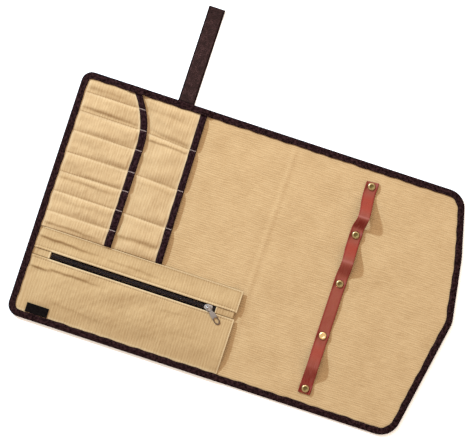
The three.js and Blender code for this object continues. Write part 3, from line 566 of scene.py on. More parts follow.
def fold_lines(x, y, rows):
    """Folds with a steep side, whose upper side stands higher."""
    return FOLD_DEPTH * sum(
        strength * np.tanh(away / row["sharp"]) * np.exp(-np.abs(away) / row["reach"])
        for row, away, strength in fold_runs(x, y, rows)
    )


def painted_fold_shade(x, y, rows):
    """Where shade is painted along the folds."""
    return sum(strength * hill(away, 0.0, row["sharp"]) for row, away, strength in fold_runs(x, y, rows))


def pocket_folds(x, y, seed):
    """Slack of a pocket cloth: shallow waves that run out of the slots."""
    return 0.8 * ripples(0.4 * x, y, 24.0, seed) + 0.16 * ripples(x, y, 11.0, seed + 1)


def pocket_top(tier, x, y):
    """The outer face of a tier's cloth, flat beside its tapes and under the tier above."""
    tape = tier["mouth"](y) - tier["width"]
    start = tier["start"](y)
    free = (1.0 - smooth(x, tape - 5.0, tape - 1.0)) * smooth(x, start, start + tier["fade"])
    inside = smooth(y, POCKET_BOTTOM, POCKET_BOTTOM + 5.0) * (1 - smooth(y, POCKET_TOP - 5.0, POCKET_TOP))
    level = tier["level"](x, y)
    waves = pocket_folds(x, y, tier["seed"]) * arch(level, tier["slots"])
    detail = seam_dents(x, level, tier["seams"]) + waves + fold_lines(x, y, tier["folds"]) + SLACK
    return np.maximum(tier["low"](x, y) + free * inside * detail, tier["floor"]) + POCKET_CLOTH


def tape_heights():
    """Heights of the stack under the edge tape along the top edge, from left to right."""
    over = 2 * (MOUTH_TAPE + GAP)
    places = []
    heights = []
    for tier, layers in ((NARROW, 2), (WIDE, 1)):
        left = float(tier["mouth"](TOP_INSIDE)) - tier["width"] - 2 * GAP
        right = float(tier["mouth"](POCKET_TOP)) + 2 * GAP
        places += [left - TAPE_RUN, left, right, right + TAPE_RUN]
        heights += [layers * LAYER, layers * LAYER + over, layers * LAYER + over, (layers - 1) * LAYER]
    return places, heights


def stack_height(x, y):
    upper = np.interp(x, *tape_heights())
    lower = np.interp(x, [ZIP_LENGTH + GAP, ZIP_LENGTH + TAPE_RUN], [LAYER, 0.0])
    climb = np.clip((y - ZIP_HEIGHT + TAPE_RUN) / (TAPE_RUN - GAP), 0.0, 1.0)
    return lower + (upper - lower) * climb


def tape_top(x, y):
    """The upper face of the edge tape."""
    return BASE_TOP + stack_height(x, y) + GAP + EDGE_TAPE


def wrinkle_rise(x, y):
    total = 0.0
    for row in WRINKLES:
        start = row["start"] * ZIP_LENGTH
        end = row["end"] * ZIP_LENGTH
        along = smooth(x, start, start + (end - start) / 4) * (1 - smooth(x, (start + end) / 2, end))
        across = hill(y, row["up"] * ZIP_HEIGHT, row["width"] * ZIP_HEIGHT)
        total = total + row["rise"] * ZIP_PUFF * along * across
    return total


def zip_swell(x, y):
    inside = EDGE_WIDTH + 1.0
    along = smooth(x, inside, 2 * WINDOW_LEFT)
    along = along * (1 - smooth(x, WINDOW_RIGHT - 3, ZIP_LENGTH - HEM_WIDTH + 5))
    up = smooth(y, inside, WINDOW_LOW / 2) * (1 - smooth(y, WINDOW_HIGH, ZIP_HEIGHT - 3))
    return along * up


def zip_low(x, y):
    return BASE_TOP + GAP + ZIP_PUFF * zip_swell(x, y) + wrinkle_rise(x, y)


def chain_level(x):
    """Height of the teeth's middle."""
    return zip_low(x, ZIP_MIDDLE + 0 * x) - GAP - ZIP_TAPE / 2


def hem_rise(x, y):
    """The folded hem of the top edge, and the right edge, which stands off the base."""
    top = 0.8 * smooth(y, ZIP_HEIGHT - 2.0 * HEM_WIDTH, ZIP_HEIGHT - 0.5 * HEM_WIDTH)
    bulge = ZIP_EDGE_RISE + 1.6 * hill(y, 55.0, 30.0) + 1.2 * hill(y, 117.0, 15.0) - 1.2 * hill(y, 95.0, 4.0)
    side = bulge * smooth(y, 8.0, 36.0) * smooth(x, ZIP_LENGTH - 34.0, ZIP_LENGTH + 2.0)
    pressed = smooth(np.minimum(x, y), EDGE_WIDTH + 1, 2 * EDGE_WIDTH)
    return pressed * np.maximum(top, side)


def window_rolls(x, y):
    """The folded edges along the zip and round its two end tabs."""
    upper = hill(y, WINDOW_HIGH + 0.6, 1.0) - 0.5 * hill(y, WINDOW_HIGH + LIP_STITCH, 0.9)
    lower = hill(y, WINDOW_LOW - 0.6, 1.0) - 0.5 * hill(y, WINDOW_LOW - LIP_STITCH, 0.9)
    along = smooth(x, EDGE_WIDTH, EDGE_WIDTH + 4)
    return 0.9 * (upper + lower) * along * (1 - smooth(x, ZIP_LENGTH - 4, ZIP_LENGTH - 2))


def zip_detail(x, y):
    """Small wrinkles of the zip pocket, none under the tapes, the label or the puller."""
    inside = smooth(np.minimum(x, y), EDGE_WIDTH, EDGE_WIDTH + 9.0)
    label_end = LABEL_LEFT + LABEL_WIDTH
    label_top = EDGE_WIDTH + LABEL_HEIGHT
    beside = smooth(x, LABEL_LEFT - 6, LABEL_LEFT) * (1 - smooth(x, label_end, label_end + 6))
    label = 1 - beside * (1 - smooth(y, label_top, label_top + 6))
    puller = 1 - hill(x, SLIDER_X + 12, 22.0) * hill(y, ZIP_MIDDLE - 10, 20.0)
    window = 1 - hill(y, ZIP_MIDDLE, 9.0)
    calm = 1 - 0.6 * smooth(x, 200.0, 300.0)
    waves = calm * (ripples(0.4 * x, y, 30.0, 61) + 0.16 * ripples(x, y, 12.0, 67)) + SLACK
    waves = waves * window * (0.25 + 0.75 * zip_swell(x, y))
    return inside * label * puller * (waves + fold_lines(x, y, ZIP_FOLDS))


def zip_stitch_dents(x, y):
    """Shallow grooves along the sewn lines of the zip pocket."""
    between = (x > EDGE_WIDTH) & (x < ZIP_LENGTH)
    top = hill(y, ZIP_HEIGHT - ZIP_TOP_STITCH, 0.8)
    side = hill(x, ZIP_LENGTH - ZIP_SIDE_STITCH, 0.8)
    return -0.45 * np.where(between, np.maximum(top, side), 0.0)


def zip_top(x, y):
    low = zip_low(x, y)
    beyond_tape = smooth(np.abs(y - ZIP_MIDDLE), WINDOW_HIGH - ZIP_MIDDLE + ZIP_TAPE_HIDDEN + 0.5, 20.0)
    floor = low + (BASE_TOP + GAP - low) * beyond_tape
    whole = low + hem_rise(x, y) + zip_detail(x, y) + zip_stitch_dents(x, y)
    return np.maximum(whole, floor) + POCKET_CLOTH + window_rolls(x, y)


def base_free(x, y):
    """1 where the base cloth lies open, and 0 under the pockets, the edge tape and the strap."""
    right = ends_at(y, 0.0)[1]
    edge = smooth(np.minimum(np.minimum(y, ROLL_DEPTH - y), right - x), EDGE_WIDTH, EDGE_WIDTH + 16.0)
    zip_away = np.maximum(x - ZIP_LENGTH, y - ZIP_HEIGHT)
    pockets = smooth(np.minimum(x - wide_mouth(y), zip_away), 1.5, 24.0)
    return edge * pockets


def base_top(x, y):
    strap = 1 - 0.7 * hill(x, LEATHER_X, 16.0)
    waves = ripples(x, y, 85.0, 11) + 0.35 * ripples(x, y, 30.0, 13) + 0.14 * ripples(x, y, 13.0, 17)
    wave = bpy.context.scene.roll_sizes.base_wave / MM
    line = CREASE_X + 0.9 * ripples(0 * y, y, 120.0, 19)
    fold = hill(x, line, 2.8) - 0.45 * hill(x, line + 7.0, 5.0) - 0.35 * hill(x, line - 6.0, 4.5)
    inner = smooth(np.minimum(y, ROLL_DEPTH - y), EDGE_WIDTH, 2 * EDGE_WIDTH)
    zip_away = np.maximum(x - ZIP_LENGTH, y - ZIP_HEIGHT)
    rivets = sum(hill(np.hypot(x - LEATHER_X, y - place), 0.0, 9.0) for place in rivet_heights())
    crease = CREASE_RISE * fold * inner * smooth(zip_away, 0, 8)
    return BASE_TOP + base_free(x, y) * strap * wave * waves + crease - 0.2 * rivets


def rivet_heights():
    return [LEATHER_TOP - share * LEATHER_LENGTH for share in RIVET_PLACES]


# Making pieces


def mesh_from(shape, name):
    """Turns a bmesh into a mesh and frees it."""
    mesh = bpy.data.meshes.new(name)
    shape.to_mesh(mesh)
    shape.free()
    return mesh


def read_points(mesh):
    """The places of a mesh's points, a row each."""
    points = np.empty(3 * len(mesh.vertices))
    mesh.vertices.foreach_get("co", points)
    return points.reshape(-1, 3)


def write_points(mesh, x, y, z):
    """Moves a mesh's points to places in the roll's millimetres."""
    mesh.vertices.foreach_set("co", spot(x, y, z).ravel())
    mesh.update()


def cloth(name, place, flat, thickness, columns, rows, offset=-1.0, ring=False, rim=0.0):
    """A sheet of cloth over a grid, whose points lie where place says, from their two shares across it.

    flat is its cut size in millimetres, for the weave. ring joins its two ends, and rim rounds its edges."""
    shape = bmesh.new()
    shape.loops.layers.uv.new("Cloth")
    bmesh.ops.create_grid(shape, x_segments=columns, y_segments=rows, size=0.5, calc_uvs=True)
    mesh = mesh_from(shape, name)
    shares = read_points(mesh)[:, :2] + 0.5
    write_points(mesh, *place(shares[:, 0], shares[:, 1]))
    layer = mesh.uv_layers["Cloth"].uv
    places = np.empty(2 * len(layer))
    layer.foreach_get("vector", places)
    layer.foreach_set("vector", (places.reshape(-1, 2) * np.array(flat) * MM).ravel())
    if ring:
        shape = bmesh.new()
        shape.from_mesh(mesh)
        bmesh.ops.remove_doubles(shape, verts=shape.verts, dist=1e-6)
        shape.to_mesh(mesh)
        shape.free()
    piece = new_piece(name, mesh)
    wall = piece.modifiers.new("Thickness", "SOLIDIFY")
    wall.thickness = thickness * MM
    wall.offset = offset
    wall.use_even_offset = True
    if rim:
        soften(piece, rim)
    return piece


def soften(piece, width, segments=2):
    edge = piece.modifiers.new("Soft edges", "BEVEL")
    edge.width = width * MM
    edge.segments = segments
    edge.limit_method = "ANGLE"
    edge.angle_limit = math.radians(50)
    edge.harden_normals = False


def new_piece(name, mesh):
    mesh.name = name
    mesh.shade_smooth()
    piece = bpy.data.objects.new(name, mesh)
    bpy.context.scene.collection.objects.link(piece)
    return piece


def dress(piece, material, stands_for=(), body="roll"):
    """Gives a finished piece its material and its body, and hides the nodes that it stands for."""
    piece.data.materials.append(material)
    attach(piece, body)
    if stands_for:
        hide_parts(*stands_for)
    return piece


def points_of(piece):
    """The x, y and z of a piece's points, in the roll's millimetres."""
    return (read_points(piece.data).T - np.array(roll_low)[:, None]) / MM


def mark(piece, *masks):
    """Stores up to four masks for the material, as the colour attribute Shape."""
    marks = np.zeros((len(piece.data.vertices), 4))
    for channel, mask in enumerate(masks):
        marks[:, channel] = np.clip(mask, 0.0, 1.0)
    layer = piece.data.color_attributes.new("Shape", "FLOAT_COLOR", "POINT")
    layer.data.foreach_set("color", marks.ravel())


def repeated(name, unit, centres, aheads, ups):
    """Copies a small shape to many places. Its x points ahead and its z points up."""
    shape = bmesh.new()
    for _ in centres:
        shape.from_mesh(unit)
    mesh = mesh_from(shape, name)
    local = read_points(mesh).reshape(len(centres), -1, 3)
    ahead = aheads / np.linalg.norm(aheads, axis=1, keepdims=True)
    side = np.cross(ups, ahead)
    side = side / np.linalg.norm(side, axis=1, keepdims=True)
    up = np.cross(ahead, side)
    turned = sum(local[..., axis, None] * way[:, None] for axis, way in enumerate((ahead, side, up)))
    write_points(mesh, *np.moveaxis(turned + centres[:, None], -1, 0))
    return new_piece(name, mesh)


def stitch_unit(length, width):
    """One stitch in millimetres, a bent capsule along x."""
    shape = bmesh.new()
    bmesh.ops.create_uvsphere(shape, u_segments=6, v_segments=5, radius=1.0)
    bmesh.ops.rotate(shape, verts=shape.verts, matrix=Matrix.Rotation(math.pi / 2, 3, "Y"))
    bmesh.ops.scale(shape, verts=shape.verts, vec=(length / 2, width / 2, 0.42 * width))
    for vertex in shape.verts:
        vertex.co.z -= 0.5 * width * (2 * vertex.co.x / length) ** 2
    return mesh_from(shape, "stitch")


def along_line(x, y, z, pitch):
    """Even places along a line, each with the direction of the line there."""
    line = np.stack(np.broadcast_arrays(x, y, z), axis=-1).astype(float)
    along = np.concatenate(([0.0], np.cumsum(np.linalg.norm(np.diff(line, axis=0), axis=1))))
    count = max(1, int(along[-1] // pitch))
    at = (np.arange(count) + 0.5) * along[-1] / count

    def place(distance):
        return np.stack([np.interp(distance, along, line[:, axis]) for axis in range(3)], axis=-1)

    return place(at), place(at + 0.3 * pitch) - place(at - 0.3 * pitch)


def sewn(name, lines, material, slot, pitch, length, width):
    """Rows of stitches along lines of x, y and z."""
    found = [along_line(*line, pitch) for line in lines]
    centres = np.concatenate([centre for centre, _ in found])
    aheads = np.concatenate([ahead for _, ahead in found])
    ups = np.tile((0.0, 0.0, 1.0), (len(centres), 1))
    unit = stitch_unit(length, width)
    piece = repeated(name, unit, centres, aheads, ups)
    bpy.data.meshes.remove(unit)
    return dress(piece, material)


def bevel_edges(shape, edges, width):
    bmesh.ops.bevel(
        shape,
        geom=edges,
        offset=width,
        offset_type="OFFSET",
        segments=2,
        profile=0.5,
        affect="EDGES",
        clamp_overlap=True,
        material=-1,
    )


def plate(outline, holes, low, high, bevel, turn=None):
    """A flat plate with holes and soft edges. Its outline and holes are points in order."""
    shape = bmesh.new()
    edges = []
    for loop in (outline, *holes):
        verts = [shape.verts.new((float(x), float(y), low)) for x, y in loop]
        edges += [shape.edges.new(pair) for pair in zip(verts, verts[1:] + verts[:1])]
    bmesh.ops.triangle_fill(shape, edges=edges, use_beauty=True, use_dissolve=False)
    raised = bmesh.ops.extrude_face_region(shape, geom=shape.faces[:], use_keep_orig=True)["geom"]
    moved = [part for part in raised if isinstance(part, bmesh.types.BMVert)]
    bmesh.ops.translate(shape, verts=moved, vec=(0.0, 0.0, high - low))
    bmesh.ops.recalc_face_normals(shape, faces=shape.faces)
    flat = [face for face in shape.faces if abs(face.normal.z) > 0.5]
    sharp = [edge for edge in shape.edges if len([f for f in edge.link_faces if f in set(flat)]) == 1]
    if bevel:
        bevel_edges(shape, sharp, bevel)
    if turn is not None:
        bmesh.ops.transform(shape, matrix=turn, verts=shape.verts)
    return shape


def joined(name, shapes):
    """One piece from several shapes in millimetres of the opened roll."""
    whole = bmesh.new()
    for shape in shapes:
        part = mesh_from(shape, "part")
        whole.from_mesh(part)
        bpy.data.meshes.remove(part)
    mesh = mesh_from(whole, name)
    write_points(mesh, *read_points(mesh).T)
    piece = new_piece(name, mesh)
    piece.data.set_sharp_from_angle(angle=math.radians(40))
    return piece


def folded(share, width, lower_width, bottom, top):
    """Runs along a tape's outer face, from its lower leg's end round the fold to its upper leg's end.

    Gives the distance inwards from the fold and the height."""
    fold_start = 0.34
    fold_end = 0.62
    reach = np.minimum((top - bottom) / 2, TAPE_FOLD_REACH)
    angle = (np.clip((share - fold_start) / (fold_end - fold_start), 0.0, 1.0) - 0.5) * math.pi
    inwards = reach * (1 - np.cos(angle))
    height = (bottom + top) / 2 + (top - bottom) / 2 * np.sin(angle)
    lower = np.clip(1 - share / fold_start, 0.0, 1.0) * np.maximum(lower_width - reach, 0.0)
    upper = np.clip((share - fold_end) / (1 - fold_end), 0.0, 1.0)
    return inwards + lower + upper * (width - reach), height, upper


# Materials


def put(tree, kind, inputs=None, **settings):
    """Adds a node. An input is a value, another node's socket or a signal."""
    made = tree.nodes.new(kind)
    for name, value in settings.items():
        setattr(made, name, value)
    for key, value in (inputs or {}).items():
        value = getattr(value, "socket", value)
        if isinstance(value, bpy.types.NodeSocket):
            tree.links.new(value, made.inputs[key])
        else:
            made.inputs[key].default_value = value
    return made


class Signal:
    """A socket's value, which takes part in sums as a number does."""

    def __init__(self, socket):
        self.socket = socket
        self.tree = socket.id_data

    def __add__(self, other):
        return calc("ADD", self, other)

    def __sub__(self, other):
        return calc("SUBTRACT", self, other)

    def __rsub__(self, other):
        return calc("SUBTRACT", other, self)

    def __mul__(self, other):
        return calc("MULTIPLY", self, other)

    def __truediv__(self, other):
        return calc("DIVIDE", self, other)


def calc(operation, *values):
    """A sum of numbers and signals, at least one of them a signal."""
    tree = next(value.tree for value in values if isinstance(value, Signal))
    return Signal(put(tree, "ShaderNodeMath", dict(enumerate(values)), operation=operation).outputs[0])


def blend(factor, first, second):
    """Mixes two colours."""
    inputs = {0: factor, 6: first, 7: second}
    return Signal(put(factor.tree, "ShaderNodeMix", inputs, data_type="RGBA", blend_type="MIX").outputs[2])


def rescale(value, low, high, to_low, to_high):
    inputs = {"Value": value, "From Min": low, "From Max": high, "To Min": to_low, "To Max": to_high}
    return Signal(put(value.tree, "ShaderNodeMapRange", inputs, clamp=True).outputs["Result"])


def noise(vector, scale, detail=2.0, roughness=0.5):
    inputs = {"Vector": vector, "Scale": scale, "Detail": detail, "Roughness": roughness}
    return Signal(put(vector.tree, "ShaderNodeTexNoise", inputs).outputs["Fac"])


def streaks(vector, x, y, z, detail=2.0, roughness=0.5):
    """Noise with its own scale along each axis."""
    scaled_vector = put(vector.tree, "ShaderNodeVectorMath", {0: vector, 1: (x, y, z)}, operation="MULTIPLY")
    return noise(Signal(scaled_vector.outputs[0]), 1.0, detail, roughness)


def cells(vector, scale, **settings):
    """Distance to the cells' centres, or to their edges."""
    found = put(vector.tree, "ShaderNodeTexVoronoi", {"Vector": vector, "Scale": scale}, **settings)
    return Signal(found.outputs["Distance"])


def wave_of(turns):
    """A wave from 0 to 1 that repeats with each whole turn."""
    return calc("MULTIPLY_ADD", calc("COSINE", turns * math.tau), 0.5, 0.5)


def channels(value, kind):
    """The parts of a vector, or of a colour."""
    return [Signal(part) for part in put(value.tree, kind, {0: value}).outputs]


def ribbed_canvas(given):
    """Canvas whose ribs run along x of its vector, in metres. Shape tells where a highlight is painted, in
    red, and where shade is painted, in green.
    """
    vector = given["Vector"]
    along, across, _ = channels(vector, "ShaderNodeSeparateXYZ")
    wear_and_painted_light, painted_shade, _ = channels(given["Shape"], "ShaderNodeSeparateColor")
    drift = streaks(vector, 30.0, 90.0, 30.0, 3.0)
    sway = (drift - 0.5) * given["Waviness"]
    row = across / given["Rib"] + sway
    rib = wave_of(row)
    step = calc("FLOOR", row) * 0.5
    yarn = wave_of(along / given["Yarn"] + step)
    cross = wave_of(across / given["Yarn"])
    slub = streaks(vector, 70.0, 520.0, 300.0, 2.0, 0.6)
    strength = rescale(streaks(vector, 60.0, 260.0, 60.0), 0.3, 0.7, 0.35, 1.0)
    blotch = noise(vector, 26.0, 3.0, 0.55)
    fleck = noise(vector, 700.0, 2.0, 0.7)
    rib = rib * strength
    weave = calc("MULTIPLY_ADD", yarn, 0.25, cross * 0.12)
    height = rib * 0.7 + weave + slub * 0.8 + fleck * 0.3
    # The rib hollows are painted darker, a painted shade that goes with the bump.
    groove = (0.5 - rib) * given["Contrast"]
    streak = (0.5 - slub) * 2.2
    shade = groove + streak * given["Contrast"]
    shade = shade + rescale(blotch, 0.3, 0.7, -0.14, 0.14)
    shade = shade + rescale(fleck, 0.3, 0.7, -0.2, 0.2)
    # Shade is painted into the seams and folds here, towards the darker cloth colour.
    shade = blend(shade + 0.3 + painted_shade, given["Cloth"], given["Dark weave and painted shade"])
    # A pale highlight is painted on folded edges, beside the tapes and below the seams.
    painted_highlight = wear_and_painted_light * rescale(slub, 0.3, 0.7, 0.7, 1.0)
    colour = blend(painted_highlight, shade, given["Rubbed and painted highlight"])
    return {"Color": colour, "Height": height, "Roughness": rescale(slub, 0.3, 0.7, 0.82, 0.96)}


def woven_tape(given):
    """Twill tape whose length is along x of its vector, in metres, with ribs that turn at its middle."""
    vector = given["Vector"]
    along, sideways, _ = channels(vector, "ShaderNodeSeparateXYZ")
    across = calc("PINGPONG", sideways, given["Half width"])
    rib = wave_of((along + across) / given["Twill"])
    cross = wave_of((along - across) / 0.0005)
    fuzz = noise(vector, 240.0, 4.0, 0.75)
    patch = noise(vector, 90.0, 3.0, 0.6)
    lint = rescale(fuzz, 0.44, 0.62, 0.0, 1.0) * given["Lint share"]
    lint = lint + rib * rescale(patch, 0.3, 0.7, 0.02, 0.08)
    colour = blend(lint, given["Tape"], given["Lint"])
    height = calc("MULTIPLY_ADD", fuzz, 0.4, rib * 0.6 + cross * 0.2)
    return {"Color": colour, "Height": height, "Roughness": rescale(fuzz, 0.3, 0.7, 0.75, 0.95)}


def looped_pile(given):
    """Fuzzy loops, for the closing strap, with painted light: lighter loop tops and darker hollows."""
    vector = given["Vector"]
    loop = cells(vector, given["Loops"])
    curl = noise(vector, 1100.0, 3.0, 0.7)
    patch = noise(vector, 120.0, 5.0, 0.7)
    height = rescale(loop, 0.0, 0.75, 1.0, 0.0) * 0.7 + curl * 0.3
    # Painted light: the loop tops are lighter and the hollows between them darker.
    light = rescale(height, 0.35, 0.9, 0.0, 1.0) * rescale(patch, 0.42, 0.6, 0.1, 1.0)
    return {"Color": blend(light, given["Pile"], given["Painted lit tips"]), "Height": height}


def leather_grain(given):
    """Grained leather with painted light and shade. Shape tells its rising flanks, painted lighter, its
    falling flanks, painted darker, and its rims, as red, green and blue.
    """
    vector = given["Vector"]
    rising, falling, rims = channels(given["Shape"], "ShaderNodeSeparateColor")
    bent = noise(vector, 260.0) * 0.0006
    moved = put(vector.tree, "ShaderNodeVectorMath", {0: vector, 1: bent}, operation="ADD").outputs[0]
    edges = cells(Signal(moved), given["Grain"], feature="DISTANCE_TO_EDGE")
    pebble = rescale(edges, 0.0, 0.16, 0.0, 1.0)
    mottle = noise(vector, 70.0, 4.0, 0.6)
    streak = streaks(vector, 700.0, 70.0, 60.0, 3.0, 0.6)
    # Painted light: the rising flanks, which face the lamp, take a brighter, redder colour.
    shade = blend(rising * rescale(mottle, 0.3, 0.7, 1.0, 0.6), given["Leather"], given["Painted light on rising flanks"])
    rubs = rescale(streak, 0.5, 0.75, 0.0, 0.45) * (1.0 - rising)
    shade = blend(rubs, shade, given["Rubbed and painted highlight"])
    dark = rescale(mottle, 0.4, 0.75, 0.0, 0.35) * rescale(pebble, 0.0, 1.0, 1.0, 0.7)
    # Painted shade: the falling flanks and the bottom end darken; the rims and the mottling are darker too.
    fall = falling * rescale(streak, 0.35, 0.65, 1.0, 0.35)
    dark = calc("MAXIMUM", dark, calc("MAXIMUM", fall, rims * 0.85))
    shade = blend(dark, shade, given["Dark"])
    # Painted highlight along the crests.
    colour = blend(given["Crest share"], shade, given["Painted crest highlight"])
    height = calc("MULTIPLY_ADD", mottle, 0.5, pebble * 0.5)
    return {"Color": colour, "Height": height, "Roughness": rescale(streak, 0.3, 0.75, 0.5, 0.36)}


def worn_metal(given):
    """Plated metal with fine scratches and dull places. Shape's red adds more dull colour, a painted dark
    reflection on the rivet caps and painted shade on the puller's ring.
    """
    vector = given["Vector"]
    scratch = streaks(vector, 300.0, 3600.0, 900.0, 3.0, 0.6)
    spots = noise(vector, 380.0, 4.0, 0.65)
    dull = rescale(spots, 0.38, 0.66, 0.0, 1.0) * given["Dullness"]
    painted_reflection_and_shade, _, _ = channels(given["Shape"], "ShaderNodeSeparateColor")
    dull = calc("MAXIMUM", dull, painted_reflection_and_shade * 0.85)
    colour = blend(dull, given["Metal"], given["Dull"])
    height = scratch + spots * 0.5
    return {"Color": colour, "Height": height, "Roughness": rescale(scratch + dull, 0.3, 1.1, 0.22, 0.55)}


COLOUR = None
FULL_RESULT = ("Color", "Height", "Roughness")

# Shared groups: how each is made, its inputs after the vector, with a number's first value, and its results
GROUPS = {
    "Ribbed canvas": (
        ribbed_canvas,
        {
            "Rib": 0.0036,
            "Yarn": 0.0011,
            "Waviness": 0.5,
            "Contrast": 0.3,
            "Cloth": COLOUR,
            "Dark weave and painted shade": COLOUR,
            "Rubbed and painted highlight": COLOUR,
            "Shape": COLOUR,
        },
        FULL_RESULT,
    ),
    "Woven tape": (
        woven_tape,
        {"Twill": 0.0014, "Half width": 0.0026, "Tape": COLOUR, "Lint": COLOUR, "Lint share": 0.3},
        FULL_RESULT,
    ),
    "Looped pile": (looped_pile, {"Loops": 850.0, "Pile": COLOUR, "Painted lit tips": COLOUR}, ("Color", "Height")),
    "Leather grain": (
        leather_grain,
        {
            "Shape": COLOUR,
            "Grain": 900.0,
            "Leather": COLOUR,
            "Dark": COLOUR,
            "Rubbed and painted highlight": COLOUR,
            "Painted light on rising flanks": COLOUR,
            "Painted crest highlight": COLOUR,
            "Crest share": 0.0,
        },
        FULL_RESULT,
    ),
    "Worn metal with painted reflection and shade": (
        worn_metal,
        {"Shape": COLOUR, "Metal": COLOUR, "Dull": COLOUR, "Dullness": 0.4},
        FULL_RESULT,
    ),
}


def shared_group(name):
    """The node group of that name, made on its first use."""
    found = bpy.data.node_groups.get(name)
    if found:
        return found
    build, inputs, results = GROUPS[name]
    group = bpy.data.node_groups.new(name, "ShaderNodeTree")
    group.interface.new_socket(name="Vector", in_out="INPUT", socket_type="NodeSocketVector")
    for title, start in inputs.items():
        kind = "NodeSocketColor" if start is COLOUR else "NodeSocketFloat"
        socket = group.interface.new_socket(name=title, in_out="INPUT", socket_type=kind)
        if start is not COLOUR:
            socket.default_value = start
    for title in results:
        kind = "NodeSocketColor" if title == "Color" else "NodeSocketFloat"
        group.interface.new_socket(name=title, in_out="OUTPUT", socket_type=kind)
    given = group.nodes.new("NodeGroupInput").outputs
    ends = group.nodes.new("NodeGroupOutput").inputs
    for title, signal in build({title: Signal(given[title]) for title in ("Vector", *inputs)}).items():
        group.links.new(signal.socket, ends[title])
    return group


def shaded(name, group_name, inputs, bump, constants, source="Object", turn=0.0):
    """A material whose colour, height and roughness come from a shared group.

    source is Object or UV, the piece's own cloth map, and turn is about the vector's z."""
    found = bpy.data.materials.get(name)
    if found:
        return found
    group = shared_group(group_name)
    material = bpy.data.materials.new(name)
    material.use_nodes = True
    tree = material.node_tree
    tree.nodes.clear()
    place = put(tree, "ShaderNodeTexCoord").outputs[source]
    if turn:
        place = put(tree, "ShaderNodeMapping", {"Vector": place, "Rotation": (0.0, 0.0, turn)}).outputs[0]
    made = put(tree, "ShaderNodeGroup", node_tree=group)
    tree.links.new(place, made.inputs["Vector"])
    if "Shape" in made.inputs:
        mask = put(tree, "ShaderNodeAttribute", attribute_name="Shape")
        tree.links.new(mask.outputs["Color"], made.inputs["Shape"])
    # Shape's alpha carries the leather's painted crest highlight.
    if "Crest share" in made.inputs:
        tree.links.new(mask.outputs["Alpha"], made.inputs["Crest share"])
    for key, value in inputs.items():
        made.inputs[key].default_value = value
    shader = put(tree, "ShaderNodeBsdfPrincipled", constants)
    tree.links.new(made.outputs["Color"], shader.inputs["Base Color"])
    if "Roughness" in made.outputs:
        tree.links.new(made.outputs["Roughness"], shader.inputs["Roughness"])
    heights = {"Height": made.outputs["Height"], "Distance": bump * MM, "Strength": 1.0}
    relief = put(tree, "ShaderNodeBump", heights)
    tree.links.new(relief.outputs[0], shader.inputs["Normal"])
    tree.links.new(shader.outputs[0], put(tree, "ShaderNodeOutputMaterial").inputs["Surface"])
    return material


def scaled(colour, share):
    return tuple(value * share for value in colour) + (1.0,)


def full(colour):
    return (*colour, 1.0)


def matt(share):
    """How much light the surface mirrors, for the material's constants."""
    return {"Specular IOR Level": share}


def canvas_material(name, colour, rib, turn=math.pi / 2, contrast=0.45, waviness=1.0, bump=0.32):
    inputs = {
        "Rib": rib,
        "Contrast": contrast,
        "Waviness": waviness,
        "Cloth": (colour[0] * 1.08, colour[1] * 1.1, colour[2] * 1.13, 1.0),
        # The darker colour also paints shade into seams and folds; the pale one below paints highlights.
        "Dark weave and painted shade": (colour[0] * 0.81, colour[1] * 0.76, colour[2] * 0.7, 1.0),
        "Rubbed and painted highlight": (colour[0] * 1.3, colour[1] * 1.45, colour[2] * 1.7, 1.0),
    }
    return shaded(name, "Ribbed canvas", inputs, bump, matt(0.05), turn=turn)


def tape_material(name, colour, lint, share, twill=0.0014, half=0.0026, bump=0.12):
    inputs = {"Twill": twill, "Half width": half, "Tape": full(colour)}
    inputs.update({"Lint": full(lint), "Lint share": share})
    return shaded(name, "Woven tape", inputs, bump, matt(0.02), source="UV")


def thread_material(name, colour):
    inputs = {"Twill": 0.0006, "Half width": 0.01, "Tape": full(colour)}
    inputs.update({"Lint": scaled(colour, 1.25), "Lint share": 0.4})
    return shaded(name, "Woven tape", inputs, 0.05, matt(0.15))


def metal_material(name, metal, dull, dullness, bump=0.03, constants=None):
    inputs = {"Metal": metal, "Dull": dull, "Dullness": dullness}
    return shaded(name, "Worn metal with painted reflection and shade", inputs, bump, constants or {"Metallic": 1.0})


# Pieces


class MakeBaseCloth(bpy.types.Operator):
    """Makes the base cloth with its soft waves and middle fold"""

    bl_idname = "cutlery_roll.base_cloth"
    bl_label = "Base cloth"

    def execute(self, context):
        sizes = context.scene.roll_sizes
        step = sizes.cloth_step / MM
        depth = ROLL_DEPTH - 2 * EDGE_INSET
        reach = ROLL_REACH - 2 * EDGE_INSET

        def place(u, v):
            y = EDGE_INSET + v * depth
            left, right = ends_at(y, EDGE_INSET)
            x = left + u * (right - left)
            return x, y, base_top(x, y)

        columns = int(reach / step)
        rows = int(depth / step)
        piece = cloth("base_cloth", place, (reach, depth), BASE_CLOTH, columns, rows)
        colours = context.scene.roll_colours
        weave = {"turn": 0.0, "contrast": 0.5, "waviness": 1.6, "bump": 0.42}
        material = canvas_material("Base canvas", colours.base, sizes.base_rib, **weave)
        dress(piece, material, ["base_panel"])
        x, y, side_x, side_y = ring_at(np.linspace(0.0, 1.0, 2000))
        x = x + side_x * EDGE_INSET
        y = y + side_y * EDGE_INSET
        area = 0.5 * abs(float(np.sum(x[:-1] * y[1:] - x[1:] * y[:-1])))
        return {"FINISHED"}


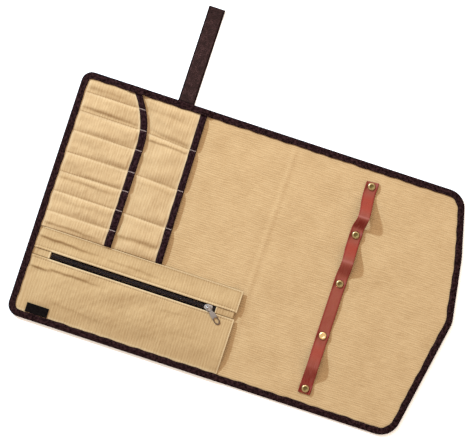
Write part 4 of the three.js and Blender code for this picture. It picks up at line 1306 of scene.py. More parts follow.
class MakeEdgeTape(bpy.types.Operator):
    """Makes the tape that is folded over the roll's outer edge"""

    bl_idname = "cutlery_roll.edge_tape"
    bl_label = "Edge tape"

    def execute(self, context):
        def place(u, v):
            x, y, side_x, side_y = ring_at(u)
            beside = np.abs(x - STRAP_X) - STRAP_WIDTH / 2
            notch = (y > ROLL_DEPTH / 2) & (beside < NOTCH_MARGIN)
            bottom = np.where(notch, STRAP_WEB + GAP, 0.0)
            circle = u * math.tau
            sway = 0.45 * np.sin(37 * circle) * np.sin(11 * circle + 1.0) + 0.3 * np.sin(83 * circle + 0.4)
            width = EDGE_WIDTH + sway
            lower_width = np.where(notch, NOTCH_LEG, EDGE_WIDTH)
            inwards, height, upper = folded(v, width, lower_width, bottom, tape_top(x, y))
            crown = 0.35 * 4 * upper * (1 - upper) * (1 + 0.3 * np.sin(140 * circle))
            pucker = 0.1 * np.sin(211 * circle + 2 * np.sin(17 * circle)) * upper
            return x + side_x * inwards, y + side_y * inwards, height + crown + pucker

        flat = (ring_length, 26.0)
        piece = cloth("edge_tape", place, flat, 0.9, columns=780, rows=20, ring=True, rim=0.25)
        colours = context.scene.roll_colours
        material = tape_material("Edge tape", colours.edge, lint=tone(92, 60, 62), share=0.5)
        dress(piece, material, ["edge_binding"])
        return {"FINISHED"}


class MakePockets(bpy.types.Operator):
    """Makes the two tiers of cutlery pockets"""

    bl_idname = "cutlery_roll.pockets"
    bl_label = "Cutlery pockets"

    def execute(self, context):
        colours = context.scene.roll_colours
        rib = context.scene.roll_sizes.pocket_rib
        material = canvas_material("Pocket canvas", colours.pocket, rib)
        for tier in (WIDE, NARROW):
            self.make_tier(tier, material)
        return {"FINISHED"}

    def make_tier(self, tier, material):
        def place(u, v):
            y = POCKET_BOTTOM + v * (TOP_INSIDE - POCKET_BOTTOM)
            left = ends_at(y, EDGE_INSET)[0]
            x = left + u * (tier["mouth"](y) - MOUTH_TAPE - GAP - left)
            return x, y, pocket_top(tier, x, y)

        piece = cloth(tier["name"], place, tier["flat"], POCKET_CLOTH, tier["columns"], POCKET_ROWS)
        x, y, _ = points_of(piece)
        # Painted highlights beside the tapes and in a band below each seam, and painted shade along the
        # seams and folds.
        beside_mouth = hill(x, tier["mouth"](y) - tier["width"] - 1.6, 1.6)
        sides = np.maximum(hill(x, EDGE_WIDTH + 1.8, 1.5), beside_mouth)
        level = tier["level"](x, y)
        heights = [seam_height(seam["up"]) for seam in tier["seams"]]
        below = sum(hill(level, height - 2.2, 1.5) for height in heights)
        painted_shade = sum(hill(level, height, 1.0) for height in heights)
        painted_shade = 0.7 * painted_shade + 0.6 * painted_fold_shade(x, y, tier["folds"])
        mark(piece, np.maximum(0.7 * sides, 0.35 * below), painted_shade)
        dress(piece, material, tier["nodes"])
        flat = [size * MM for size in tier["flat"]]


class MakeMouthTapes(bpy.types.Operator):
    """Makes the dark tapes that bind the two pocket mouths"""

    bl_idname = "cutlery_roll.mouth_tapes"
    bl_label = "Mouth tapes"

    def execute(self, context):
        colours = context.scene.roll_colours
        material = tape_material("Mouth tape", colours.mouth, lint=tone(92, 62, 68), share=0.5)
        for tier in (WIDE, NARROW):
            self.make_tape(tier, material)
        return {"FINISHED"}

    def make_tape(self, tier, material):
        width = tier["width"]

        def place(u, v):
            y = POCKET_BOTTOM + u * (TOP_INSIDE - POCKET_BOTTOM)
            edge = tier["mouth"](y)
            low = tier["low"](edge, y) + mouth_pinch(tier, edge, y)
            shown = 1 - smooth(y, POCKET_TOP - 12, POCKET_TOP - 2)
            sway = 0.35 * ripples(0 * y, y, 24.0, 71) * shown
            bottom = low - GAP - MOUTH_TAPE
            inwards, height, upper = folded(v, width + sway, width, bottom, low + OVER_MOUTH)
            crown = (0.22 + 0.08 * ripples(0 * y, y, 9.0, 73)) * 4 * upper * (1 - upper) * shown
            return edge - inwards, y, height + crown

        flat = (TOP_INSIDE - POCKET_BOTTOM, 25.0)
        piece = cloth(tier["tape"], place, flat, MOUTH_TAPE, columns=170, rows=18, rim=0.2)
        dress(piece, material, [tier["tape_node"]])


class MakeZipPocket(bpy.types.Operator):
    """Makes the zip pocket's cloth above and below the zip, and its two end tabs"""

    bl_idname = "cutlery_roll.zip_pocket"
    bl_label = "Zip pocket"

    def execute(self, context):
        colours = context.scene.roll_colours
        rib = context.scene.roll_sizes.pocket_rib
        material = canvas_material("Zip canvas", colours.zip_cloth, rib)
        whole = {"left": EDGE_INSET, "right": ZIP_LENGTH, "columns": 190}
        lower = {"low": EDGE_INSET, "high": WINDOW_LOW + LIP, "rows": 96}
        upper = {"low": WINDOW_HIGH - LIP, "high": ZIP_HEIGHT, "rows": 40}
        tab = {"low": WINDOW_LOW + LIP + 0.4, "high": WINDOW_HIGH - LIP - 0.4, "rows": 9}
        at_left = {"left": EDGE_INSET, "right": WINDOW_LEFT, "columns": 30}
        at_right = {"left": WINDOW_RIGHT, "right": ZIP_LENGTH - 2.6, "columns": 24}
        self.make_part("zip_cloth_lower", "zip_pocket_lower", material, **whole, **lower)
        self.make_part("zip_cloth_upper", "zip_pocket_upper", material, **whole, **upper)
        self.make_part("zip_tab_left", "zip_end_tab_left", material, **at_left, **tab)
        self.make_part("zip_tab_right", "zip_end_tab_right", material, **at_right, **tab)
        return {"FINISHED"}

    def painted_highlight_and_shade(self, piece, is_tab):
        """Where highlights are painted on the folded edges and beside the tapes, and where shade is painted
        along the sewn lines and folds, with a painted shadow along the tabs' edges.
        """
        x, y, _ = points_of(piece)
        if is_tab:
            painted_highlight = np.maximum(hill(x, WINDOW_LEFT - 1.3, 1.4), hill(x, WINDOW_RIGHT + 1.3, 1.4))
            return painted_highlight, hill(y, WINDOW_LOW + 1.2, 1.0) + hill(y, WINDOW_HIGH - 1.2, 1.0)
        window = np.maximum(hill(y, WINDOW_HIGH, 1.9), hill(y, WINDOW_LOW, 1.9))
        window = window * smooth(x, WINDOW_LEFT - 3, WINDOW_LEFT)
        window = window * (1 - 0.4 * smooth(x, WINDOW_RIGHT, WINDOW_RIGHT + 4))
        outer = np.maximum(hill(y, ZIP_HEIGHT, 1.4), hill(x, ZIP_LENGTH, 1.6))
        tapes = 0.6 * np.maximum(hill(x, EDGE_WIDTH + 1.8, 1.5), hill(y, EDGE_WIDTH + 1.6, 1.2))
        sewn = hill(y, ZIP_HEIGHT - 2.4, 0.9) + hill(x, ZIP_LENGTH - 2.6, 0.9)
        return np.maximum(np.maximum(window, outer), tapes), 0.9 * sewn + 0.9 * painted_fold_shade(x, y, ZIP_FOLDS)

    def make_part(self, name, node, material, left, right, low, high, columns, rows):
        def place(u, v):
            y = low + v * (high - low)
            edge = ends_at(y, EDGE_INSET)[0] if left == EDGE_INSET else left
            x = edge + u * (right - edge)
            if "tab" not in name:
                return x, y, zip_top(x, y)
            ends = hill(x, WINDOW_LEFT - 1.0, 1.1) + hill(x, WINDOW_RIGHT + 1.0, 1.1)
            hollow = 0.35 * hill(x, 0.5 * (left + right), 2.5)
            return x, y, zip_top(x, y) - window_rolls(x, y) - 0.7 - hollow + 1.2 * ends

        flat = (right - left, max(high - low, WINDOW_HIGH - WINDOW_LOW))
        piece = cloth(name, place, flat, POCKET_CLOTH, columns, rows, rim=0.4)
        mark(piece, *self.painted_highlight_and_shade(piece, "tab" in name))
        dress(piece, material, [node])


class MakeZip(bpy.types.Operator):
    """Makes the zip's woven tapes and its coil of teeth"""

    bl_idname = "cutlery_roll.zip_line"
    bl_label = "Zip"

    def execute(self, context):
        colours = context.scene.roll_colours
        weave = {"lint": tone(40, 34, 34), "share": 0.3, "twill": 0.0011, "half": 0.02, "bump": 0.08}
        tape = tape_material("Zip tape", colours.zip_tape, **weave)
        self.make_tape("zip_tape_low", "zip_tape_lower", -1, tape)
        self.make_tape("zip_tape_high", "zip_tape_upper", 1, tape)
        self.make_teeth(colours)
        return {"FINISHED"}

    def make_tape(self, name, node, side, material):
        inner = ZIP_MIDDLE + side * (CHAIN_HALF + GAP)
        outer = ZIP_MIDDLE + side * (WINDOW_HIGH - ZIP_MIDDLE + ZIP_TAPE_HIDDEN)
        low = min(inner, outer)
        high = max(inner, outer)
        left = WINDOW_LEFT - ZIP_END_HIDDEN
        right = WINDOW_RIGHT + ZIP_END_HIDDEN

        def place(u, v):
            x = left + u * (right - left)
            y = low + v * (high - low)
            return x, y, zip_low(x, y) - GAP

        flat = (right - left, high - low)
        piece = cloth(name, place, flat, ZIP_TAPE, columns=150, rows=10, rim=0.2)
        dress(piece, material, [node])
        flat[0] * MM

    def make_teeth(self, colours):
        shape = bmesh.new()
        bmesh.ops.create_cone(shape, cap_ends=True, segments=8, radius1=0.42, radius2=0.56, depth=3.5)
        bmesh.ops.rotate(shape, verts=shape.verts, matrix=Matrix.Rotation(math.pi / 2, 3, "Y"))
        bmesh.ops.scale(shape, verts=shape.verts, vec=(1.0, 1.0, 1.75))
        rims = [edge for edge in shape.edges if len({round(v.co.x, 3) for v in edge.verts}) == 1]
        bevel_edges(shape, rims, 0.22)
        unit = mesh_from(shape, "tooth")
        rows = []
        for side in (-1, 1):
            start = WINDOW_LEFT + 1.0 + (side + 1) * TOOTH_PITCH / 4
            rows.append((np.arange(start, SLIDER_X - 4.0, TOOTH_PITCH), side, CLOSED_TOOTH))
            rows.append((np.arange(SLIDER_X + 7.2, WINDOW_RIGHT + 3.0, TOOTH_PITCH), side, OPEN_TOOTH))
        x = np.concatenate([places for places, _, _ in rows])
        side = np.concatenate([np.full(len(places), side) for places, side, _ in rows])
        away = np.concatenate([np.full(len(places), away) for places, _, away in rows])
        centres = np.stack([x, ZIP_MIDDLE + side * away, chain_level(x)], axis=-1)
        aheads = np.stack([0.12 * np.ones_like(x), -side.astype(float), 0 * x], axis=-1)
        ups = np.tile((0.0, 0.0, 1.0), (len(x), 1))
        piece = repeated("coil_teeth", unit, centres, aheads, ups)
        bpy.data.meshes.remove(unit)
        dull = scaled(colours.coil, 0.6)
        coil = {"metal": full(colours.coil), "dull": dull, "dullness": 0.5, "bump": 0.02}
        material = metal_material("Zip coil", **coil, constants=matt(0.15))
        dress(piece, material, ["zip_chain"])


def puller_half(x):
    """Half the puller's width at a distance from its pivot."""
    half = PULLER_WIDTH / 2
    neck = PULLER_EYE_LENGTH + 0.6
    return half * (
        1.0
        - 0.36 * smooth(x, PULLER_EYE_LENGTH - 2.4, neck)
        + 0.3 * smooth(x, neck, 0.42 * PULLER_LENGTH)
    )


def oval(centre, along, across, power=2.0, count=40):
    """Points round a rounded shape. A higher power makes it squarer."""
    angle = np.linspace(0.0, math.tau, count, endpoint=False)
    cosine = np.cos(angle)
    sine = np.sin(angle)
    x = centre + along * np.sign(cosine) * np.abs(cosine) ** (2 / power)
    y = across * np.sign(sine) * np.abs(sine) ** (2 / power)
    return list(zip(x, y))


def puller_dip(pivot_z):
    """The slope at which the puller comes to rest on the cloth below it."""
    slopes = []
    for share in (0.36, 0.45, 0.6, 0.75, 0.9, 1.0):
        for side in (-0.5, 0.0, 0.5):
            ahead = share * PULLER_LENGTH
            across = side * PULLER_WIDTH
            x = SLIDER_X + ahead * math.cos(PULLER_TURN) - across * math.sin(PULLER_TURN)
            y = ZIP_MIDDLE + ahead * math.sin(PULLER_TURN) + across * math.cos(PULLER_TURN)
            cloth_top = zip_low(x, y) + POCKET_CLOTH + GAP
            slopes.append((pivot_z - PULLER_THICKNESS / 2 - float(cloth_top)) / ahead)
    return math.atan(min(slopes))


class MakeSlider(bpy.types.Operator):
    """Makes the zip slider with its crown, and the puller that hangs in the crown"""

    bl_idname = "cutlery_roll.slider"
    bl_label = "Slider and puller"

    def execute(self, context):
        colours = context.scene.roll_colours
        steel = colours.steel
        plated = {"metal": scaled(steel, 1.15), "dull": scaled(steel, 0.4), "dullness": 0.5}
        wear_and_painted_light = {"metal": scaled(steel, 0.8), "dull": full(tone(128, 96, 72)), "dullness": 0.35}
        body = metal_material("Nickel plate", **plated)
        material = metal_material("Puller plate", **wear_and_painted_light)
        level = float(chain_level(SLIDER_X))
        top = level + CHAIN_THICKNESS / 2 + GAP + SLIDER_PLATE
        dress(self.make_body(level, top), body, ["zip_slider"])
        dress(self.make_puller(top), material, ["zip_puller"], body="zip_puller")
        return {"FINISHED"}

    def make_body(self, level, top):
        long = SLIDER_LENGTH / 2
        wide = SLIDER_WIDTH / 2
        x = np.concatenate([np.linspace(-long, long, 25), np.linspace(long, -long, 25)])
        round_ends = np.sqrt(np.clip(1 - (x / (long * 1.04)) ** 10, 0, 1))
        half = wide * (0.64 + 0.36 * smooth(x, -long, 0.1 * long)) * round_ends
        half = np.maximum(half, 0.42 * wide)
        plan = list(zip(x, np.where(np.arange(len(x)) < 25, -half, half)))
        place = Matrix.Translation((SLIDER_X, ZIP_MIDDLE, 0.0))
        under = level - CHAIN_THICKNESS / 2 - GAP
        shapes = [
            plate(plan, [oval(-1.2, 1.4, 2.3)], top - SLIDER_PLATE, top, 0.35, place),
            plate(plan, [], under - SLIDER_PLATE, under, 0.35, place),
            plate(oval(3.0, 2.0, 1.7), [], under - 0.4, top - 0.4, 0.0, place),
        ]
        for side in (-1, 1):
            back = -0.45 * long
            front = long - 0.9
            outside = side * (wide - 0.1)
            inside = side * (wide - 0.8)
            rail = [(back, outside), (front, outside), (front, inside), (back, inside)]
            shapes.append(plate(rail, [], top - SLIDER_PLATE - 0.7, top - 0.3, 0.15, place))
        clear = PULLER_STAND + math.hypot(PULLER_BAR, PULLER_THICKNESS) / 2 + GAP
        angle = np.linspace(0.0, math.pi, 17)
        foot = -0.5
        outer = self.arch_points(angle, CROWN_HALF, clear + CROWN_BAR, 3.6)
        outer = [(CROWN_HALF, foot), *outer, (-CROWN_HALF, foot)]
        inner = self.arch_points(angle[::-1], CROWN_HALF - CROWN_BAR, clear, 4.5)
        inner = [(CROWN_BAR - CROWN_HALF, foot), *inner, (CROWN_HALF - CROWN_BAR, foot)]
        stand = Matrix.Translation((SLIDER_X, ZIP_MIDDLE, top)) @ Matrix.Rotation(math.pi / 2, 4, "X")
        shapes.append(plate(outer + inner, [], -CROWN_WIDTH / 2, CROWN_WIDTH / 2, 0.3, stand))
        return joined("slider_body", shapes)

    def arch_points(self, angle, half, height, power):
        x = half * np.sign(np.cos(angle)) * np.abs(np.cos(angle)) ** (2 / power)
        y = height * np.abs(np.sin(angle)) ** (2 / power)
        return list(zip(x, y))

    def make_puller(self, top):
        half = PULLER_WIDTH / 2
        eye = PULLER_BAR / 2
        straight = 0.82 * PULLER_LENGTH
        x = np.concatenate([[-eye], np.linspace(-eye + 0.8, straight, 34)])
        side = np.concatenate([[half - 0.8], puller_half(x[1:])])
        angle = np.linspace(math.pi / 2, -math.pi / 2, 17)[1:-1]
        reach = PULLER_LENGTH - straight
        tip = [(straight + reach * math.cos(turn), 0.95 * half * math.sin(turn)) for turn in angle]
        outline = list(zip(x, side)) + tip + list(zip(x[::-1], -side[::-1]))
        inner = half - PULLER_EYE_WALL
        middle = (eye + PULLER_EYE_LENGTH) / 2
        window = oval(middle, PULLER_EYE_LENGTH - middle, inner, 5.0)
        ring = oval(0.755 * PULLER_LENGTH, 0.165 * PULLER_LENGTH, 0.64 * half)
        pivot_z = top + PULLER_STAND
        turn = (
            Matrix.Translation((SLIDER_X, ZIP_MIDDLE, pivot_z))
            @ Matrix.Rotation(PULLER_TURN, 4, "Z")
            @ Matrix.Rotation(puller_dip(pivot_z), 4, "Y")
        )
        thick = PULLER_THICKNESS / 2
        piece = joined("puller_plate", [plate(outline, [window, ring], -thick, thick, 0.35, turn)])
        x_all, y_all, _ = points_of(piece)
        away = np.hypot(x_all - SLIDER_X, y_all - ZIP_MIDDLE)
        # Painted shade on the puller's ring end.
        mark(piece, smooth(away, 0.52 * PULLER_LENGTH, 0.66 * PULLER_LENGTH))
        return piece


class MakeLabel(bpy.types.Operator):
    """Makes the bare woven label"""

    bl_idname = "cutlery_roll.label"
    bl_label = "Label"

    def execute(self, context):
        def place(u, v):
            x = LABEL_LEFT + u * LABEL_WIDTH
            y = EDGE_WIDTH + GAP + v * LABEL_HEIGHT
            lift = 0.35 * smooth(v, 0.6, 1.0) + 0.12 * np.sin(u * 5.0) * v
            return x, y, zip_low(x, y) + POCKET_CLOTH + 2 * GAP + LABEL_CLOTH + lift

        flat = (LABEL_WIDTH, LABEL_HEIGHT)
        piece = cloth("label_cloth", place, flat, LABEL_CLOTH, columns=34, rows=14, rim=0.25)
        colours = context.scene.roll_colours
        weave = {"lint": tone(52, 46, 44), "share": 0.25, "twill": 0.0007, "half": 0.03, "bump": 0.05}
        material = tape_material("Label cloth", colours.label, **weave)
        dress(piece, material, ["label_tab"])
        flat = (LABEL_WIDTH * MM, LABEL_HEIGHT * MM)
        return {"FINISHED"}


def leather_line():
    """The strap's middle line: distance down from its top end, height and lean to the right."""
    rivets = rivet_heights()
    middle = LEATHER_LOW + LEATHER_THICKNESS / 2
    y_points = [LEATHER_TOP]
    z_points = [middle]
    leans = [0.0]
    for index, loop in enumerate(LOOPS):
        start = rivets[index] - LOOP_SEAT
        end = rivets[index + 1] + LOOP_SEAT
        for share in np.linspace(0.0, 1.0, 49):
            reach = share / loop["crest"] if share < loop["crest"] else (1 - share) / (1 - loop["crest"])
            lift = (1 - math.cos(math.pi * min(1.0, reach))) / 2
            y_points.append(start + share * (end - start))
            z_points.append(middle + loop["rise"] * LOOP_RISE * lift)
            leans.append(loop["lean"] * lift * LEATHER_WIDTH)
    y_points.append(LEATHER_BOTTOM)
    z_points.append(middle)
    leans.append(0.0)
    y, z, lean = (np.array(values) for values in (y_points, z_points, leans))
    along = np.concatenate(([0.0], np.cumsum(np.hypot(np.diff(y), np.diff(z)))))
    return along, y, z, lean


class MakeLeather(bpy.types.Operator):
    """Makes the leather strap with its loops"""

    bl_idname = "cutlery_roll.leather"
    bl_label = "Leather strap"

    def execute(self, context):
        along, y_line, z_line, lean_line = leather_line()
        rivets = rivet_heights()

        def place(u, v):
            at = (1 - v) * along[-1]
            y = np.interp(at, along, y_line)
            z = np.interp(at, along, z_line)
            lean = np.interp(at, along, lean_line)
            across = 2 * u - 1
            side = 0.25 * ripples(0 * y, y, 60.0, 83) * smooth(z, LEATHER_LOW + 1.0, LEATHER_LOW + 5.0)
            dish = -0.12 * across**2
            tilt = 0.35 * across * smooth(z, LEATHER_LOW + 3.0, LEATHER_LOW + 14.0)
            beside = sum(hill(y, height, 7.0) for height in rivets)
            curl = LEATHER_CURL * smooth(np.abs(across), 0.58, 1.05) * beside
            narrower = 1 - 0.06 * smooth(z, LEATHER_LOW + 5.0, LEATHER_LOW + 15.0)
            top_slant = 0.9 * across * smooth(y, LEATHER_TOP - 12.0, LEATHER_TOP)
            x = LEATHER_X + lean + side + across * narrower * LEATHER_WIDTH / 2
            return x, y + top_slant, z + dish + tilt + curl

        length = float(along[-1])
        flat = (LEATHER_WIDTH, length)
        thick = LEATHER_THICKNESS - 0.1
        piece = cloth("leather_loop_strap", place, flat, thick, columns=12, rows=260, offset=0.0)
        soften(piece, 0.55, segments=3)
        colours = context.scene.roll_colours
        self.mark_shape(piece)
        # The rising-flank colour is painted light, the dark colour also paints shade on the falling flanks,
        # and the crest colour is a painted highlight.
        inputs = {
            "Leather": full(colours.leather),
            "Dark": full(tone(142, 32, 27)),
            "Rubbed and painted highlight": full(tone(182, 96, 98)),
            "Painted crest highlight": full(tone(214, 138, 128)),
            "Painted light on rising flanks": full(tone(174, 66, 48)),
        }
        material = shaded("Leather", "Leather grain", inputs, 0.07, matt(0.1), source="UV")
        dress(piece, material, ["leather_strap"])
        return {"FINISHED"}

    def mark_shape(self, piece):
        """Marks the rising flanks for painted light, the falling flanks and the bottom end for painted
        shade, the rims, and the crests for a painted highlight, for the material.
        """
        x, y, _ = points_of(piece)
        along, y_line, z_line, lean_line = leather_line()
        order = np.argsort(y_line)
        lift = np.interp(y, y_line[order], np.gradient(z_line, along)[order])
        height = np.interp(y, y_line[order], z_line[order])
        lean = np.interp(y, y_line[order], lean_line[order])
        across = np.abs(x - LEATHER_X - lean) / (LEATHER_WIDTH / 2)
        # Darker towards the bottom end, which joins the painted shade of the last falling flank.
        end = 1 - smooth(y, LEATHER_BOTTOM + 14.0, LEATHER_BOTTOM + 64.0)
        falling = np.maximum(smooth(-lift, 0.08, 0.85), end)
        # A painted highlight on the higher crests, kept in the alpha.
        crest = smooth(height, LEATHER_LOW + 9.0, LEATHER_LOW + 15.0) * hill(lift, -0.12, 0.14)
        mark(piece, smooth(lift, 0.1, 0.5), falling, smooth(across, 0.62, 0.98), 0.6 * crest)


class MakeRivets(bpy.types.Operator):
    """Makes the five rivets that hold the leather strap"""

    bl_idname = "cutlery_roll.rivets"
    bl_label = "Rivets"

    def execute(self, context):
        colours = context.scene.roll_colours
        brass = colours.brass
        wear_and_painted_light = {"metal": scaled(brass, 1.6), "dull": full(tone(112, 98, 46)), "dullness": 0.4}
        # A brighter copy of the brass, which paints a bright reflection on one rivet.
        bright = {"metal": scaled(brass, 2.9), "dull": scaled(brass, 0.5), "dullness": 0.2, "bump": 0.02}
        # Its dull colour is a painted dark reflection on the middle of each cap.
        material = metal_material("Brass with painted dark reflection", **wear_and_painted_light)
        bright_reflection_brass = metal_material("Brass with painted bright reflection", **bright)
        under = LEATHER_LOW + LEATHER_THICKNESS + GAP
        top = under + RIVET_CAP_HEIGHT
        profile = (
            {"radius": 0.0, "z": 0.02},
            {"radius": RIVET_BACK - 0.4, "z": 0.0},
            {"radius": RIVET_BACK, "z": 0.25},
            {"radius": RIVET_BACK, "z": EDGE_TAPE - 0.2},
            {"radius": RIVET_POST + 0.3, "z": EDGE_TAPE},
            {"radius": RIVET_POST, "z": EDGE_TAPE + 0.3},
            {"radius": RIVET_POST, "z": under},
            {"radius": RIVET_CAP - 0.25, "z": under - 0.1},
            {"radius": RIVET_CAP, "z": under + 0.2},
            {"radius": RIVET_CAP, "z": under + 0.6},
            {"radius": 0.95 * RIVET_CAP, "z": under + 1.1},
            {"radius": 0.84 * RIVET_CAP, "z": top - 0.35},
            {"radius": 0.68 * RIVET_CAP, "z": top - 0.02},
            {"radius": 0.58 * RIVET_CAP, "z": top},
            {"radius": 0.5 * RIVET_CAP, "z": top - 0.1},
            {"radius": 0.42 * RIVET_CAP, "z": top - 0.45},
            {"radius": 0.34 * RIVET_CAP, "z": top - 0.62},
            {"radius": 0.16 * RIVET_CAP, "z": top - 0.7},
            {"radius": 0.0, "z": top - 0.7},
        )
        for number, y in enumerate(rivet_heights(), 1):
            shape = bmesh.new()
            verts = [shape.verts.new((row["radius"], 0.0, row["z"])) for row in profile]
            edges = [shape.edges.new(pair) for pair in zip(verts, verts[1:])]
            bmesh.ops.spin(
                shape,
                geom=verts + edges,
                cent=(0.0, 0.0, 0.0),
                axis=(0.0, 0.0, 1.0),
                angle=math.tau,
                steps=RIVET_STEPS,
                use_merge=True,
            )
            bmesh.ops.remove_doubles(shape, verts=shape.verts, dist=1e-4)
            bmesh.ops.recalc_face_normals(shape, faces=shape.faces)
            bmesh.ops.translate(shape, verts=shape.verts, vec=(LEATHER_X, y, 0.0))
            piece = joined(f"rivet_cap_{number}", [shape])
            has_bright_reflection = number == BRIGHT_REFLECTION_RIVET
            self.mark_painted_reflection(piece, y, has_bright_reflection)
            dress(piece, bright_reflection_brass if has_bright_reflection else material, [f"rivet_{number}"])
        return {"FINISHED"}

    def mark_painted_reflection(self, piece, y, has_bright_reflection):
        """Paints a dark reflection on the middle of a cap, or on the rim of the rivet that has the bright
        reflection.
        """
        x_all, y_all, _ = points_of(piece)
        away = np.hypot(x_all - LEATHER_X, y_all - y) / RIVET_CAP
        mark(piece, smooth(away, 0.82, 0.96) if has_bright_reflection else 1 - smooth(away, 0.5, 0.68))


class MakeClosingStrap(bpy.types.Operator):
    """Makes the closing strap: woven web, looped pile and folded end"""

    bl_idname = "cutlery_roll.closing_strap"
    bl_label = "Closing strap"

    def execute(self, context):
        colours = context.scene.roll_colours
        start = ROLL_DEPTH - STRAP_TAIL
        end = ROLL_DEPTH + STRAP_REACH
        flat_run = end - STRAP_FOLD - start
        bend = math.pi * 0.95
        whole = flat_run + bend + STRAP_HEM

        def place_web(u, v):
            at = v * whole
            angle = np.clip((at - flat_run) / bend, 0.0, 1.0) * math.pi
            back = np.maximum(at - flat_run - bend, 0.0)
            y = np.minimum(start + at, end - STRAP_FOLD) + STRAP_FOLD * np.sin(angle) - back
            z = STRAP_FOLD - STRAP_FOLD * np.cos(angle)
            return STRAP_X + (u - 0.5) * STRAP_WIDTH, y, z

        flat = (STRAP_WIDTH, whole)
        web = cloth("strap_web", place_web, flat, 0.95, columns=16, rows=150, offset=1.0, rim=0.2)
        weave = {"lint": tone(70, 48, 48), "share": 0.4, "twill": 0.0012, "half": 0.03, "bump": 0.1}
        web_material = tape_material("Strap web", tone(26, 12, 14), **weave)
        dress(web, web_material, ["closing_strap"])

        pile_start = ROLL_DEPTH + 0.6
        pile_end = end - 1.0
        wide = STRAP_WIDTH - 2 * SELVEDGE

        def place_pile(u, v):
            x = STRAP_X + (u - 0.5) * wide
            y = pile_start + v * (pile_end - pile_start)
            to_side = np.minimum(u, 1 - u) * wide
            to_end = np.minimum(v, 1 - v) * 140
            rim = smooth(np.minimum(to_side, to_end), 0.0, 1.4)
            hem = (STRAP_TOP - STRAP_PILE + 0.25) * smooth(y, end - STRAP_HEM - 18.0, end - STRAP_HEM + 2.0)
            curl = ripples(x, y, 2.6, 91, 14) + 0.8 * ripples(x, y, 1.4, 97, 14)
            return x, y, STRAP_WEB + hem + 0.3 + np.maximum(0.42 + 0.2 * curl, 0.0) * rim

        flat = (wide, pile_end - pile_start)
        pile = cloth("strap_pile", place_pile, flat, 0.25, columns=46, rows=300)
        inputs = {"Pile": full(colours.pile), "Painted lit tips": full(tone(146, 100, 98))}
        constants = {"Roughness": 1.0, "Sheen Weight": 0.1, "Sheen Roughness": 0.5, **matt(0.05)}
        pile_material = shaded("Strap pile", "Looped pile", inputs, 0.5, constants)
        dress(pile, pile_material)
        flat = (wide * MM, (pile_end - pile_start) * MM)
        return {"FINISHED"}


def ring_line(inset, rise, count=1600):
    """A line on the edge tape's upper leg, at a distance in from the outline."""
    x, y, side_x, side_y = ring_at(np.linspace(0.0, 1.0, count))
    return x + side_x * inset, y + side_y * inset, tape_top(x, y) + rise


